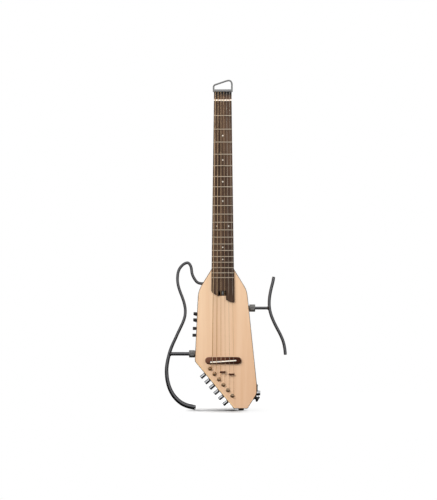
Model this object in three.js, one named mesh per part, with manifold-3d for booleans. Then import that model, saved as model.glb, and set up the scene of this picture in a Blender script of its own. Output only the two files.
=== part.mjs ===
import * as THREE from "three";
import { mergeVertices } from "three/addons/utils/BufferGeometryUtils.js";
import Module from "manifold-3d";

const wasm = await Module();
wasm.setup();

// A headless acoustic-electric travel guitar, in millimetres. Z runs up the neck, the strings face -Y,
// and X is measured from the neck's centre line, until the whole group is shifted so that the origin
// lies under the middle of the end foot. Y is zero in the middle of the body's thickness.

// Room that is kept between pieces that seat on each other, and how far a cutting shape runs past a face
const slack = 0.3;
const overrun = 2;

// Sides of round pieces: coarse inside, finer where they show
const fewSides = 8;
const someSides = 12;
const manySides = 16;
const cornerSteps = 5;

const foot = { radius: 6.85, height: 5.7, shank: 2.2, shankLength: 12, lip: 1 };
// The foot's place across the body's flat bottom
const footShare = 0.5424;

const body = { width: 156.4, belowBridge: 121.3, aboveBridge: 229, depth: 45, leftReach: 70.4, top: 4 };
const bottomZ = foot.height;
const bridgeZ = bottomZ + body.belowBridge;
const topZ = bridgeZ + body.aboveBridge;
const faceY = -body.depth / 2;
const coreY = faceY + body.top;
const backY = body.depth / 2;

// The body's outline, from the neck down the left side and up the right side: across the width,
// up from the bottom to the bridge, then up from there to the top, and the corner's radius to the width
const outlineShares = [
  [0.2657, 1, 1, 0],
  [0.0543, 1, 0.7667, 0.42],
  [0, 0.979, 0, 0.076],
  [0.628, 0, 0, 0.02],
  [0.8494, 0, 0, 0.025],
  [0.999, 0.3076, 0, 0.127],
  [1, 0.501, 0, 0.38],
  [0.8405, 1, 0.7706, 0.38],
  [0.6343, 1, 1, 0],
];

const scaleLength = 648;

const fingerboard = {
  nutWidth: 44.6,
  endWidth: 58.4,
  thickness: 6,
  overlay: 3,
  trebleMargin: 55.9,
  trebleCurve: 3,
  trebleDrop: 6,
  bassMargin: 32.5,
  notchMargin: 33.5,
  notchLeft: 10.2,
  notchRight: 8.2,
  notchDrop: 1,
};
// Where the curved ends of its two edges bend, across from the edge to the notch and down to the notch's foot
const boardEndShares = { bassAcross: 0.33, bassDown: 0.55, trebleAcross: 0.25 };
const fret = { count: 20, notesPerOctave: 12, width: 2.2, height: 1, seat: 1, inset: 0.6 };
const nut = { thickness: 4, rise: 1 };
const action = { nut: 0.5, octave: 2.3 };

const neck = {
  nutDepth: 15,
  bodyDepth: 18,
  heelDepth: 40,
  heelRise: 46,
  heelSteps: 5,
  tenonWidth: 48,
  tenonGap: 1.2,
  tenonDepth: 22,
  belly: 0.7,
};
const anchor = { height: 5.8, overhang: 2.8, front: 8, ballRadius: 1.8, ballHeight: 2.6, gapToNut: 19.7 };
const loop = {
  radius: 2.1,
  leftShoulder: 10.8,
  slope: 0.34,
  leftBend: 4.6,
  rightBend: 15,
  rightDrop: 14.8,
  bendSteps: 5,
  depthShare: 0.5,
  seat: 3.6,
};

const bridge = { length: 90.8, width: 17.1, height: 8.5, setback: 4.2, shift: 1.2, bevel: 2.4, endSteps: 6 };
const saddle = { length: 66.5, thickness: 3, tilt: 0.0663, below: 2.2, slotDepth: 6 };
const pickup = { thickness: 1.2, width: 2.4, length: 62 };

const trussRod = { radius: 3, depth: 7.7, headGap: 38, tipRadius: 2, tipLength: 6, nutRadius: 3.6 };
const well = { depth: 10, length: 12.1, nutLength: 10 };

// The strings' diameters, from the lowest to the highest; the first four are wound
const gauges = [1.42, 1.14, 0.89, 0.66, 0.43, 0.33];
const strings = {
  wound: 4,
  nutSpread: 35.7,
  nutShift: -1,
  saddleSpread: 53.4,
  saddleShift: 0.8,
  anchorDrop: 1.9,
  fittingRounds: 4,
};
const winding = { turns: 2, gap: 0.5, steps: 24, sides: 6 };

const tuner = { pitch: 17.73, first: 38, inset: 18.1, ledge: 17.5, ledgeReach: 12, ledgeMargin: 15 };
const housing = { outward: 10, inward: 8, along: 15.2, depth: 11, wall: 1.2 };
const bushing = { radius: 4.3, flangeRadius: 5.3, flange: 1.6 };
const post = { radius: 3, waist: 2.4, rise: 9.5, cap: 1.6, edge: 0.7, spindle: 1.5 };
const gear = { radius: 2.5, tooth: 0.45, teeth: 15, width: 4.4 };
const worm = { radius: 1.4, root: 1.05, thread: 1.4, turns: 4, shaft: 1.1 };
const key = { radius: 4.6, length: 14, gap: 1.2, chamfer: 0.6 };

const retainer = { length: 14.5, width: 5, thickness: 3, leg: 1.75, screw: 1.4, screwDepth: 8 };
const retainers = [
  { below: 28.9, pair: [2, 3] },
  { below: 34.7, pair: [4, 5] },
];

const control = { radius: 4, reach: 9.2, shaft: 2.5, chamfer: 0.6, pointers: 2, pointer: 2.4, flat: 2.6 };
const controlHeightShares = [0.68, 0.6355, 0.574, 0.525];
const cavity = { wall: 8, width: 36, margin: 12, frontWall: 6.5 };
const pot = { radius: 6.5, length: 6.5, bore: 5 };
const board = { thickness: 1.6, overlap: 8, front: 9, back: 12 };

const battery = { width: 26.5, length: 48.5, thickness: 17.5, wall: 5 };
const batteryHeightShare = 0.54;
const cover = { thickness: 2.2, lip: 5 };

const collar = { radius: 9.3, length: 15 };
const socket = { wall: 1.8, reach: 10, depth: 24 };
const plugSleeve = { wall: 1.8, length: 14, plug: 13 };

// The left frame's tube, from the plug at the shoulder round to the free end: across from the free
// end's side, up from the lowest point, and the tube's radius as a share of the widest radius
const leftFrame = { width: 86.8, height: 365.2, plugDrop: 35.9, nearX: 54.7, radius: 6.3, strutRise: 15.6 };
const leftFrameShares = [
  [0, 0.857, 0.58],
  [0.072, 0.861, 0.57],
  [0.13, 0.87, 0.57],
  [0.189, 0.888, 0.57],
  [0.256, 0.921, 0.57],
  [0.299, 0.976, 0.57],
  [0.363, 0.998, 0.57],
  [0.422, 1, 0.57],
  [0.537, 0.985, 0.57],
  [0.649, 0.948, 0.57],
  [0.686, 0.892, 0.57],
  [0.658, 0.837, 0.57],
  [0.498, 0.727, 0.58],
  [0.459, 0.672, 0.58],
  [0.486, 0.616, 0.59],
  [0.69, 0.506, 0.6],
  [0.892, 0.396, 0.66],
  [0.995, 0.287, 0.73],
  [1, 0.231, 0.76],
  [0.969, 0.176, 0.79],
  [0.891, 0.12, 0.83],
  [0.771, 0.074, 0.88],
  [0.597, 0.035, 0.93],
  [0.424, 0.014, 0.97],
  [0.19, 0.001, 1],
];
const leftTube = { steps: 48, sides: 8 };

// The right frame's free tube: across from its nearest point, up from its lower end
const rightFrame = {
  width: 40.8,
  height: 197.3,
  belowStrut: 118,
  nearX: 117.5,
  radius: 3.9,
  strutDrop: 97.8,
};
const rightFrameShares = [
  [0.268, 0.9855],
  [0.228, 0.937],
  [0.134, 0.86],
  [0.054, 0.783],
  [0.005, 0.706],
  [0, 0.63],
  [0.056, 0.552],
  [0.174, 0.475],
  [0.339, 0.397],
  [0.531, 0.32],
  [0.715, 0.246],
  [0.865, 0.168],
  [0.951, 0.09],
  [0.992, 0.0146],
];
const rightTube = { steps: 30, sides: 8 };
const strut = { leftRadius: 4.5, rightRadius: 3.65 };
const endCap = { thickness: 2.6, stem: 1.8, stemLength: 5, rounding: 0.8 };

const strapButton = {
  flangeRadius: 7.3,
  flange: 1.6,
  waist: 4.2,
  waistLength: 5.4,
  headRadius: 7.5,
  head: 4.7,
  edge: 1,
  screw: 2,
  screwLength: 15,
  forward: 6.5,
};
const buttonShare = 0.755;
const jack = {
  back: 8.5,
  bezelRadius: 6.7,
  bezel: 6.5,
  seat: 5,
  barrel: 4.75,
  length: 32,
  bore: 3.3,
  boreLength: 28,
};
const jackPlate = { width: 12, length: 22, thickness: 1.8, gap: 0.4 };

// Colours, roughness and metalness of the pieces
const looks = {
  top: [0xe7c29b, 0.42, 0],
  core: [0xcfa678, 0.5, 0],
  neck: [0xb98a5c, 0.5, 0],
  board: [0x5c4537, 0.6, 0],
  bridge: [0x4a2d20, 0.5, 0],
  bone: [0xf4ead8, 0.35, 0],
  satin: [0x8c8c8a, 0.35, 0.9],
  chrome: [0xd8dadc, 0.12, 1],
  bronze: [0x9a7a58, 0.3, 0.9],
  nickel: [0xb9b4aa, 0.25, 1],
  tube: [0x5a5a5c, 0.4, 0.6],
  dark: [0x2a2a2b, 0.5, 0.2],
  black: [0x141414, 0.45, 0],
  rubber: [0x1c1a18, 0.8, 0],
  steel: [0xc0bdb6, 0.3, 0.9],
  wound: [0xa9825a, 0.35, 0.8],
  circuit: [0x2f5a3a, 0.6, 0],
  cell: [0x303236, 0.5, 0.1],
  brass: [0xb08d4f, 0.35, 0.9],
};

// Geometry helpers
function block(x, y, z) {
  const geometry = new THREE.BoxGeometry(x[1] - x[0], y[1] - y[0], z[1] - z[0]);
  return geometry.translate((x[0] + x[1]) / 2, (y[0] + y[1]) / 2, (z[0] + z[1]) / 2);
}

function rod(axis, radius, span, at, sides = someSides) {
  const geometry = new THREE.CylinderGeometry(radius, radius, span[1] - span[0], sides);
  geometry.translate(0, (span[0] + span[1]) / 2, 0);
  if (axis === "x") geometry.rotateZ(-Math.PI / 2);
  if (axis === "z") geometry.rotateX(Math.PI / 2);
  return geometry.translate(at.x ?? 0, at.y ?? 0, at.z ?? 0);
}

// The cutter of a round hole: its flat sides, not its corners, lie at the radius
function bore(axis, radius, span, at, sides = fewSides) {
  return rod(axis, radius / Math.cos(Math.PI / sides), span, at, sides);
}

function turned(profile, sides = someSides) {
  return new THREE.LatheGeometry(profile.map(([radius, along]) => new THREE.Vector2(radius, along)), sides);
}

// A shape drawn across X and Z, thick along Y
function plate(shape, y) {
  const settings = { depth: y[1] - y[0], bevelEnabled: false, curveSegments: cornerSteps };
  const geometry = new THREE.ExtrudeGeometry(shape, settings);
  return geometry.rotateX(Math.PI / 2).translate(0, y[1], 0);
}

function polygon(points) {
  return new THREE.Shape(points.map(([x, z]) => new THREE.Vector2(x, z)));
}

function roundedShape(corners) {
  const shape = new THREE.Shape();
  corners.forEach((corner, index) => {
    const here = new THREE.Vector2(corner.x, corner.z);
    const previous = corners.at(index - 1);
    const next = corners[(index + 1) % corners.length];
    const back = new THREE.Vector2(previous.x, previous.z).sub(here).normalize();
    const ahead = new THREE.Vector2(next.x, next.z).sub(here).normalize();
    const reach = corner.radius / Math.tan(Math.acos(back.dot(ahead)) / 2);
    const start = here.clone().addScaledVector(back, reach);
    const end = here.clone().addScaledVector(ahead, reach);
    if (index === 0) shape.moveTo(start.x, start.y);
    else shape.lineTo(start.x, start.y);
    if (corner.radius > 0) shape.quadraticCurveTo(here.x, here.y, end.x, end.y);
  });
  shape.closePath();
  return shape;
}

// Rings of equal counts joined into one closed skin, each ring turning left as seen from the next one
function skin(rings) {
  const count = rings[0].length;
  const faces = [];
  for (let ring = 0; ring < rings.length - 1; ring++) {
    for (let side = 0; side < count; side++) {
      const here = ring * count;
      const there = here + count;
      const next = (side + 1) % count;
      faces.push(here + side, here + next, there + next, here + side, there + next, there + side);
    }
  }
  const last = (rings.length - 1) * count;
  for (let side = 1; side < count - 1; side++) {
    faces.push(0, side + 1, side, last, last + side, last + side + 1);
  }
  const geometry = new THREE.BufferGeometry().setFromPoints(rings.flat());
  geometry.setIndex(faces);
  geometry.computeVertexNormals();
  return geometry;
}

// A round tube through the points, with a radius for each of them
function tube(points, radii, sides) {
  const normal = new THREE.Vector3(0, 1, 0);
  const rings = points.map((point, index) => {
    const before = points[Math.max(index - 1, 0)];
    const after = points[Math.min(index + 1, points.length - 1)];
    const forward = after.clone().sub(before).normalize();
    normal.addScaledVector(forward, -normal.dot(forward)).normalize();
    const side = forward.clone().cross(normal);
    return Array.from({ length: sides }, (_, step) => {
      const angle = (2 * Math.PI * step) / sides;
      const place = point.clone().addScaledVector(normal, radii[index] * Math.cos(angle));
      return place.addScaledVector(side, radii[index] * Math.sin(angle));
    });
  });
  return skin(rings);
}

function solid(geometry) {
  const bare = geometry.clone();
  for (const name of ["normal", "uv"]) bare.deleteAttribute(name);
  const merged = mergeVertices(bare);
  const vertProperties = new Float32Array(merged.attributes.position.array);
  const triVerts = new Uint32Array(merged.index.array);
  return new wasm.Manifold(new wasm.Mesh({ numProp: 3, vertProperties, triVerts }));
}

function geometryOf(shape) {
  const mesh = shape.getMesh();
  const geometry = new THREE.BufferGeometry();
  geometry.setAttribute("position", new THREE.Float32BufferAttribute(mesh.vertProperties, 3));
  geometry.setIndex(new THREE.Uint32BufferAttribute(mesh.triVerts, 1));
  geometry.computeVertexNormals();
  return geometry;
}

function joined(first, ...others) {
  return geometryOf(others.reduce((sum, other) => sum.add(solid(other)), solid(first)));
}

function cut(first, ...others) {
  return geometryOf(others.reduce((sum, other) => sum.subtract(solid(other)), solid(first)));
}

const guitar = new THREE.Group();

function piece(name, geometry, look, parent = guitar) {
  const [color, roughness, metalness] = looks[look];
  const mesh = new THREE.Mesh(geometry, new THREE.MeshStandardMaterial({ color, roughness, metalness }));
  mesh.name = name;
  parent.add(mesh);
  return mesh;
}

// Places that several pieces share
const corners = outlineShares.map(([across, below, above, round]) => ({
  x: across * body.width - body.leftReach,
  z: bottomZ + below * body.belowBridge + above * body.aboveBridge,
  radius: round * body.width,
}));
const [, shoulderLeft, waistLeft, toeLeft, toeRight, heelRight, sideRight, shoulderRight] = corners;
const mix = THREE.MathUtils.lerp;
const sideX = (low, high, z) => mix(low.x, high.x, (z - low.z) / (high.z - low.z));
const leftX = (z) => sideX(waistLeft, shoulderLeft, z);
const rightX = (z) => sideX(sideRight, shoulderRight, z);

const footX = mix(toeLeft.x, toeRight.x, footShare);

const boardY = faceY - fingerboard.thickness;
const fretY = boardY - fret.height;
const nutStringY = fretY - action.nut;
const saddleStringY = fretY - 2 * action.octave + action.nut;
const nutZ = bridgeZ + bridge.setback + scaleLength;
const fretZ = (number) => nutZ - scaleLength * (1 - 2 ** (-number / fret.notesPerOctave));
const trebleEnd = fretZ(fret.count) - fingerboard.trebleMargin;
const bassEnd = fretZ(fret.count) - fingerboard.bassMargin;
const notchZ = fretZ(fret.count) - fingerboard.notchMargin;
const boardHalf = (z) => mix(fingerboard.nutWidth, fingerboard.endWidth, (nutZ - z) / (nutZ - trebleEnd)) / 2;
const nutTop = nutZ + nut.thickness;
const anchorZ = nutTop + anchor.gapToNut;
const anchorTop = anchorZ + anchor.height;
const lastString = gauges.length - 1;
const nutStringX = (index) => strings.nutShift + strings.nutSpread * (index / lastString - 0.5);
const saddleStringX = (index) => strings.saddleShift + strings.saddleSpread * (index / lastString - 0.5);
const saddleZ = bridgeZ - saddle.below;
const saddleStringZ = (index) => saddleZ + (saddleStringX(index) - bridge.shift) * saddle.tilt;

// The tuners stand in a row along the slanted lower left edge
const edgeLength = Math.hypot(toeLeft.x - waistLeft.x, toeLeft.z - waistLeft.z);
const down = { x: (toeLeft.x - waistLeft.x) / edgeLength, z: (toeLeft.z - waistLeft.z) / edgeLength };
const inward = { x: -down.z, z: down.x };
const rowTurn = Math.atan2(-down.x, -down.z);
const ledgeY = faceY + tuner.ledge;
const posts = gauges.map((_, index) => {
  const along = tuner.first + tuner.pitch * index;
  return {
    x: waistLeft.x + down.x * along + inward.x * tuner.inset,
    z: waistLeft.z + down.z * along + inward.z * tuner.inset,
  };
});
const flangeY = faceY - slack - bushing.flange;
const wormY = ledgeY + slack + housing.depth / 2;
const wormOffset = gear.radius + worm.radius + slack;

const controls = controlHeightShares.map((share) => ({ z: mix(bottomZ, topZ, share) }));
const cavityX = [leftX(controls[1].z) + cavity.wall, leftX(controls[1].z) + cavity.wall + cavity.width];
const cavityZ = [controls.at(-1).z - cavity.margin, controls[0].z + cavity.margin];
const cavityY = coreY + cavity.frontWall;
const batteryZ = mix(bottomZ, topZ, batteryHeightShare);
const batteryX = rightX(batteryZ) - socket.depth - battery.wall - battery.width / 2;
const trussY = faceY + trussRod.depth;
const tenonZ = notchZ + neck.tenonGap;
const wellX = [-fingerboard.notchLeft, fingerboard.notchRight];
const wellZ = [notchZ - well.length, notchZ];
const jackSideX = rightX(heelRight.z);
const jackX = jackSideX - jack.seat;

const around = (low, high, room) => [low - room, high + room];

const leftStrutZ = bridgeZ + leftFrame.strutRise;
const rightStrutZ = topZ - rightFrame.strutDrop;
const upperPlugZ = topZ - leftFrame.plugDrop;
const leftLowest = upperPlugZ - leftFrameShares[0][1] * leftFrame.height;
const plugRadius = leftFrame.radius * leftFrameShares[0][2];
const plugEnd = -leftFrame.nearX + plugSleeve.plug;
const sleeveX = [plugEnd - plugSleeve.length + slack, plugEnd + slack];

// A threaded sleeve let into the body's side, whose outer part carries the collar
function sleeveSpan(sign, sideAt) {
  const ends = [sideAt + sign * socket.reach, sideAt - sign * socket.depth];
  return ends.sort((a, b) => a - b);
}
const leftSeatX = leftX(leftStrutZ - collar.radius);
const rightSeatX = rightX(rightStrutZ - collar.radius);
const leftSocketX = sleeveSpan(-1, leftSeatX);
const rightSocketX = sleeveSpan(1, rightSeatX);
const socketRadius = (strutRadius) => strutRadius + slack + socket.wall;

function coverRecess(x, z) {
  const wide = cover.lip + slack;
  return block(around(...x, wide), [backY - cover.thickness - slack, backY + overrun], around(...z, wide));
}
const bayX = around(batteryX - battery.width / 2, batteryX + battery.width / 2, 2 * slack);
const bayZ = around(batteryZ - battery.length / 2, batteryZ + battery.length / 2, 2 * slack);
const bayY = [backY - cover.thickness - 3 * slack - battery.thickness, backY + overrun];
const coverY = [backY - cover.thickness, backY];

// The strap button's and the jack's places on the right side
const facetLength = Math.hypot(heelRight.x - toeRight.x, heelRight.z - toeRight.z);
const facetOut = {
  x: (heelRight.z - toeRight.z) / facetLength,
  z: (toeRight.x - heelRight.x) / facetLength,
};
const buttonAt = {
  x: mix(toeRight.x, heelRight.x, buttonShare),
  y: -strapButton.forward,
  z: mix(toeRight.z, heelRight.z, buttonShare),
};
const jackAt = { y: jack.back, z: heelRight.z };

// Turns a piece that was made along Y, outward from its seat, so that it points out of the facet
function onFacet(geometry) {
  const turn = Math.atan2(-facetOut.z, facetOut.x);
  return geometry.rotateZ(-Math.PI / 2).rotateY(turn).translate(buttonAt.x, buttonAt.y, buttonAt.z);
}

function retainerPlace({ below, pair }) {
  const z = bridgeZ - below;
  const xs = pair.map((index) => {
    const share = (saddleStringZ(index) - z) / (saddleStringZ(index) - posts[index].z);
    return mix(saddleStringX(index), posts[index].x + post.waist + slack + gauges[index] / 2, share);
  });
  return { x: (xs[0] + xs[1]) / 2, z };
}
const windingStart = (index) => {
  const lowest = flangeY - slack - gauges[index] / 2;
  return lowest - winding.turns * (gauges[index] + winding.gap);
};

// Body: the core with its rooms and bores, and the soundboard glued on it
function addBody() {
  const outline = roundedShape(corners);
  const screwHoles = retainers.map(retainerPlace).map(({ x, z }) => {
    const deep = coreY + retainer.screwDepth + slack;
    return bore("y", retainer.screw + slack, [faceY - overrun, deep], { x, z });
  });
  const postHoles = posts.map(({ x, z }) =>
    bore("y", bushing.radius + slack, [faceY - overrun, ledgeY + overrun], { x, z }));
  const ledgeX = [-tuner.inset - tuner.ledgeMargin, tuner.ledgeReach];
  const ledgeZ = [-tuner.pitch * lastString - tuner.ledgeMargin, tuner.ledgeMargin];
  const ledge = block(ledgeX, [ledgeY, backY + overrun], ledgeZ);
  ledge.rotateY(rowTurn).translate(posts[0].x, 0, posts[0].z);
  const tenonHalf = neck.tenonWidth / 2 + slack;
  const pocketY = [coreY - overrun, coreY + neck.tenonDepth + slack];
  const pocket = block([-tenonHalf, tenonHalf], pocketY, [tenonZ - slack, topZ + overrun]);
  const rodWell = block(wellX, [faceY - overrun, coreY + well.depth], [wellZ[0], tenonZ]);
  const controlHoles = controls.map(({ z }) =>
    bore("x", control.shaft + slack, [leftX(z) - overrun, cavityX[0] + overrun], { z }));
  const leftBore = bore("x", socketRadius(strut.leftRadius) + slack,
    [leftSocketX[0], leftSocketX[1] + slack], { z: leftStrutZ }, someSides);
  const rightBore = bore("x", socketRadius(strut.rightRadius) + slack,
    [rightSocketX[0] - slack, rightSocketX[1]], { z: rightStrutZ }, someSides);
  const plugBore = bore("x", plugRadius + 2 * slack + plugSleeve.wall,
    [-body.leftReach, sleeveX[1] + slack], { z: upperPlugZ }, someSides);
  const jackEnd = jackSideX - jack.length;
  const jackBore = bore("x", jack.barrel + slack, [jackEnd - slack, body.width], jackAt);
  const jackSeat = bore("x", jack.bezelRadius + slack, [jackX - slack, body.width], jackAt, manySides);
  const buttonDepth = strapButton.screwLength + slack;
  const buttonBore = onFacet(bore("y", strapButton.screw + slack, [-buttonDepth, overrun], {}));
  const footBore = bore("z", foot.shank + slack, [0, bottomZ + foot.shankLength + slack], { x: footX });
  const rooms = [
    block(cavityX, [cavityY, backY + overrun], cavityZ),
    coverRecess(cavityX, cavityZ),
    block(bayX, bayY, bayZ),
    coverRecess(bayX, bayZ),
    ledge,
    pocket,
    rodWell,
  ];
  const frameBores = [leftBore, rightBore, plugBore];
  const fittingBores = [...controlHoles, jackBore, jackSeat, buttonBore, footBore];
  const slab = plate(outline, [coreY, backY]);
  const core = cut(slab, ...screwHoles, ...postHoles, ...rooms, ...frameBores, ...fittingBores);
  piece("body_core", core, "core");
  piece("soundboard", cut(plate(outline, [faceY, coreY]), ...screwHoles, ...postHoles, rodWell), "top");
}

// Neck: a rounded shaft that deepens into the heel, with a tenon in the body and a channel for the rod
function addNeck() {
  const heelTop = topZ + neck.heelRise;
  const depthAt = (z) => {
    const shaft = mix(neck.nutDepth, neck.bodyDepth, (nutZ - z) / (nutZ - topZ));
    const share = Math.max(0, (heelTop - z) / neck.heelRise);
    return mix(shaft, neck.heelDepth, share * share);
  };
  const heights = [anchorZ - slack, nutZ, heelTop];
  for (let step = 1; step <= neck.heelSteps; step++) {
    heights.push(mix(heelTop, topZ + slack, step / neck.heelSteps));
  }
  const rings = heights.map((z) => {
    const half = Math.min(boardHalf(z), boardHalf(topZ));
    const wide = Math.max(half, fingerboard.nutWidth / 2);
    return Array.from({ length: someSides + 1 }, (_, step) => {
      const angle = (Math.PI * step) / someSides;
      const bulge = Math.sin(angle) ** neck.belly * depthAt(z);
      return new THREE.Vector3(-wide * Math.cos(angle), faceY + bulge, z);
    });
  });
  const tenonHalf = neck.tenonWidth / 2;
  const tenonTop = topZ + neck.heelRise / neck.heelSteps;
  const tenon = block([-tenonHalf, tenonHalf], [coreY, coreY + neck.tenonDepth], [tenonZ, tenonTop]);
  const channelHalf = trussRod.radius + slack;
  const channelTop = nutZ - trussRod.headGap + overrun;
  const channel = block([-channelHalf, channelHalf], [faceY - overrun, trussY + channelHalf],
    [tenonZ - overrun, channelTop]);
  piece("neck", cut(joined(skin(rings), tenon), channel), "neck");
  const tip = tenonZ - slack;
  const rodBody = rod("z", trussRod.radius, [tip, channelTop - slack], { y: trussY }, fewSides);
  const tipSpan = [tip - trussRod.tipLength, tip + overrun];
  const rodTip = rod("z", trussRod.tipRadius, tipSpan, { y: trussY }, fewSides);
  piece("truss_rod", joined(rodBody, rodTip), "steel");
  const rodNutZ = [tip - slack - well.nutLength, tip - slack];
  const nutBoreZ = [rodNutZ[1] - trussRod.tipLength - slack, rodNutZ[1] + overrun];
  const nutBore = bore("z", trussRod.tipRadius + slack, nutBoreZ, { y: trussY });
  piece("truss_rod_nut", cut(rod("z", trussRod.nutRadius, rodNutZ, { y: trussY }), nutBore), "brass");
}

// Fingerboard with its frets pressed in, and the thinner overlay between the nut and the string anchor
function addFingerboard() {
  const bassHalf = boardHalf(bassEnd);
  const trebleHalf = boardHalf(trebleEnd);
  const shape = polygon([
    [-boardHalf(nutZ), nutZ],
    [-bassHalf, bassEnd],
    [mix(-bassHalf, wellX[0], boardEndShares.bassAcross), mix(bassEnd, wellZ[0], boardEndShares.bassDown)],
    [wellX[0], wellZ[0] - fingerboard.notchDrop],
    [wellX[0], notchZ],
    [wellX[1], notchZ],
    [wellX[1], trebleEnd],
    [mix(trebleHalf, wellX[1], boardEndShares.trebleAcross), trebleEnd - fingerboard.trebleDrop],
    [trebleHalf, trebleEnd - fingerboard.trebleCurve],
    [boardHalf(nutZ), nutZ],
  ]);
  const frets = Array.from({ length: fret.count }, (_, index) => {
    const z = fretZ(index + 1);
    const half = boardHalf(z) - fret.inset;
    return block([-half, half], [fretY, boardY + fret.seat], [z - fret.width / 2, z + fret.width / 2]);
  });
  const half = fingerboard.nutWidth / 2;
  const overlayY = faceY - fingerboard.overlay;
  const overlay = block([-half, half], [overlayY, faceY], [nutZ - overrun, anchorZ - slack]);
  piece("fingerboard", joined(plate(shape, [boardY, faceY]), overlay, ...frets), "board");
  const nutSlots = gauges.map((gauge, index) => {
    const x = around(nutStringX(index), nutStringX(index), gauge / 2 + slack);
    return block(x, [nutStringY - nut.rise - overrun, nutStringY + slack], around(nutZ, nutTop, overrun));
  });
  const nutBlank = block([-half, half], [nutStringY - nut.rise, overlayY], [nutZ, nutTop]);
  piece("nut", cut(nutBlank, ...nutSlots), "bone");
}

// The string anchor across the end of the neck, and the bent rod loop that stands on it
function addHead() {
  const half = fingerboard.nutWidth / 2 + anchor.overhang;
  const anchorY = [faceY - anchor.front, faceY + neck.nutDepth];
  const loopY = mix(...anchorY, loop.depthShare);
  const stringY = nutStringY + strings.anchorDrop;
  const holes = gauges.flatMap((gauge, index) => {
    const at = { x: nutStringX(index), y: stringY };
    const ballZ = anchorTop - anchor.ballHeight - 2 * slack;
    return [
      bore("z", gauge / 2 + slack, [anchorZ - overrun, anchorTop], at),
      bore("z", anchor.ballRadius + slack, [ballZ, anchorTop + overrun], at),
    ];
  });
  const legX = half - loop.radius;
  const seats = [-legX, legX].map((x) =>
    bore("z", loop.radius + slack, [anchorTop - loop.seat - slack, anchorTop + overrun], { x, y: loopY }));
  const bar = block([-half, half], anchorY, [anchorZ, anchorTop]);
  piece("string_anchor", cut(bar, ...holes, ...seats), "satin");

  const legZ = anchorTop - loop.seat;
  const shoulder = anchorTop + loop.leftShoulder;
  const peak = shoulder + 2 * legX * loop.slope;
  const route = new THREE.CurvePath();
  const at = (x, z) => new THREE.Vector3(x, loopY, z);
  const run = Math.hypot(1, loop.slope);
  const slopeAt = (x) => shoulder + (x + legX) * loop.slope;
  const slopeEnd = -legX + loop.leftBend / run;
  const slopeStart = legX - loop.rightBend / run;
  const leftLeg = at(-legX, shoulder - loop.leftBend);
  const leftTop = at(slopeEnd, slopeAt(slopeEnd));
  const rightTop = at(slopeStart, slopeAt(slopeStart));
  const rightLeg = at(legX, peak - loop.rightDrop);
  route.add(new THREE.LineCurve3(at(-legX, legZ), leftLeg));
  route.add(new THREE.QuadraticBezierCurve3(leftLeg, at(-legX, shoulder), leftTop));
  route.add(new THREE.LineCurve3(leftTop, rightTop));
  route.add(new THREE.QuadraticBezierCurve3(rightTop, at(legX, peak), rightLeg));
  route.add(new THREE.LineCurve3(rightLeg, at(legX, legZ)));
  const points = route.curves.flatMap((curve, index) => {
    const steps = index % 2 ? loop.bendSteps : 1;
    return curve.getPoints(steps).slice(0, steps);
  });
  points.push(at(legX, legZ));
  piece("head_loop", tube(points, points.map(() => loop.radius), someSides), "satin");
}

function addBridge() {
  const straight = (bridge.length - bridge.width) / 2;
  const radius = bridge.width / 2;
  const stadium = (inset) => {
    const shape = new THREE.Shape();
    shape.absarc(straight, 0, radius - inset, -Math.PI / 2, Math.PI / 2);
    shape.absarc(-straight, 0, radius - inset, Math.PI / 2, (3 * Math.PI) / 2);
    return shape;
  };
  const levels = [[0, 0], [0, bridge.height - bridge.bevel], [bridge.bevel, bridge.height]];
  const rings = levels.map(([inset, rise]) => stadium(inset).getPoints(bridge.endSteps).map((point) =>
    new THREE.Vector3(bridge.shift + point.x, faceY - rise, bridgeZ + point.y)));
  const frame = new THREE.Group();
  frame.position.set(bridge.shift, 0, saddleZ);
  frame.rotation.y = -Math.atan(saddle.tilt);
  guitar.add(frame);
  frame.updateMatrix();
  const floorY = faceY - bridge.height + saddle.slotDepth;
  const halfLength = saddle.length / 2;
  const halfWide = saddle.thickness / 2;
  const slot = block(around(-halfLength, halfLength, slack), [faceY - bridge.height - overrun, floorY],
    around(-halfWide, halfWide, slack)).applyMatrix4(frame.matrix);
  const apart = (point, index, ring) => point.distanceTo(ring.at(index - 1)) > slack;
  const unique = rings.map((ring) => ring.filter(apart));
  piece("bridge", cut(skin(unique), slot), "bridge");
  const stripY = [floorY - slack - pickup.thickness, floorY - slack];
  piece("saddle_pickup", block([-pickup.length / 2, pickup.length / 2], stripY,
    [-pickup.width / 2, pickup.width / 2]), "nickel", frame);
  piece("saddle", block([-halfLength, halfLength], [saddleStringY + slack, stripY[0] - slack],
    [-halfWide, halfWide]), "bone", frame);
}

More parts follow.
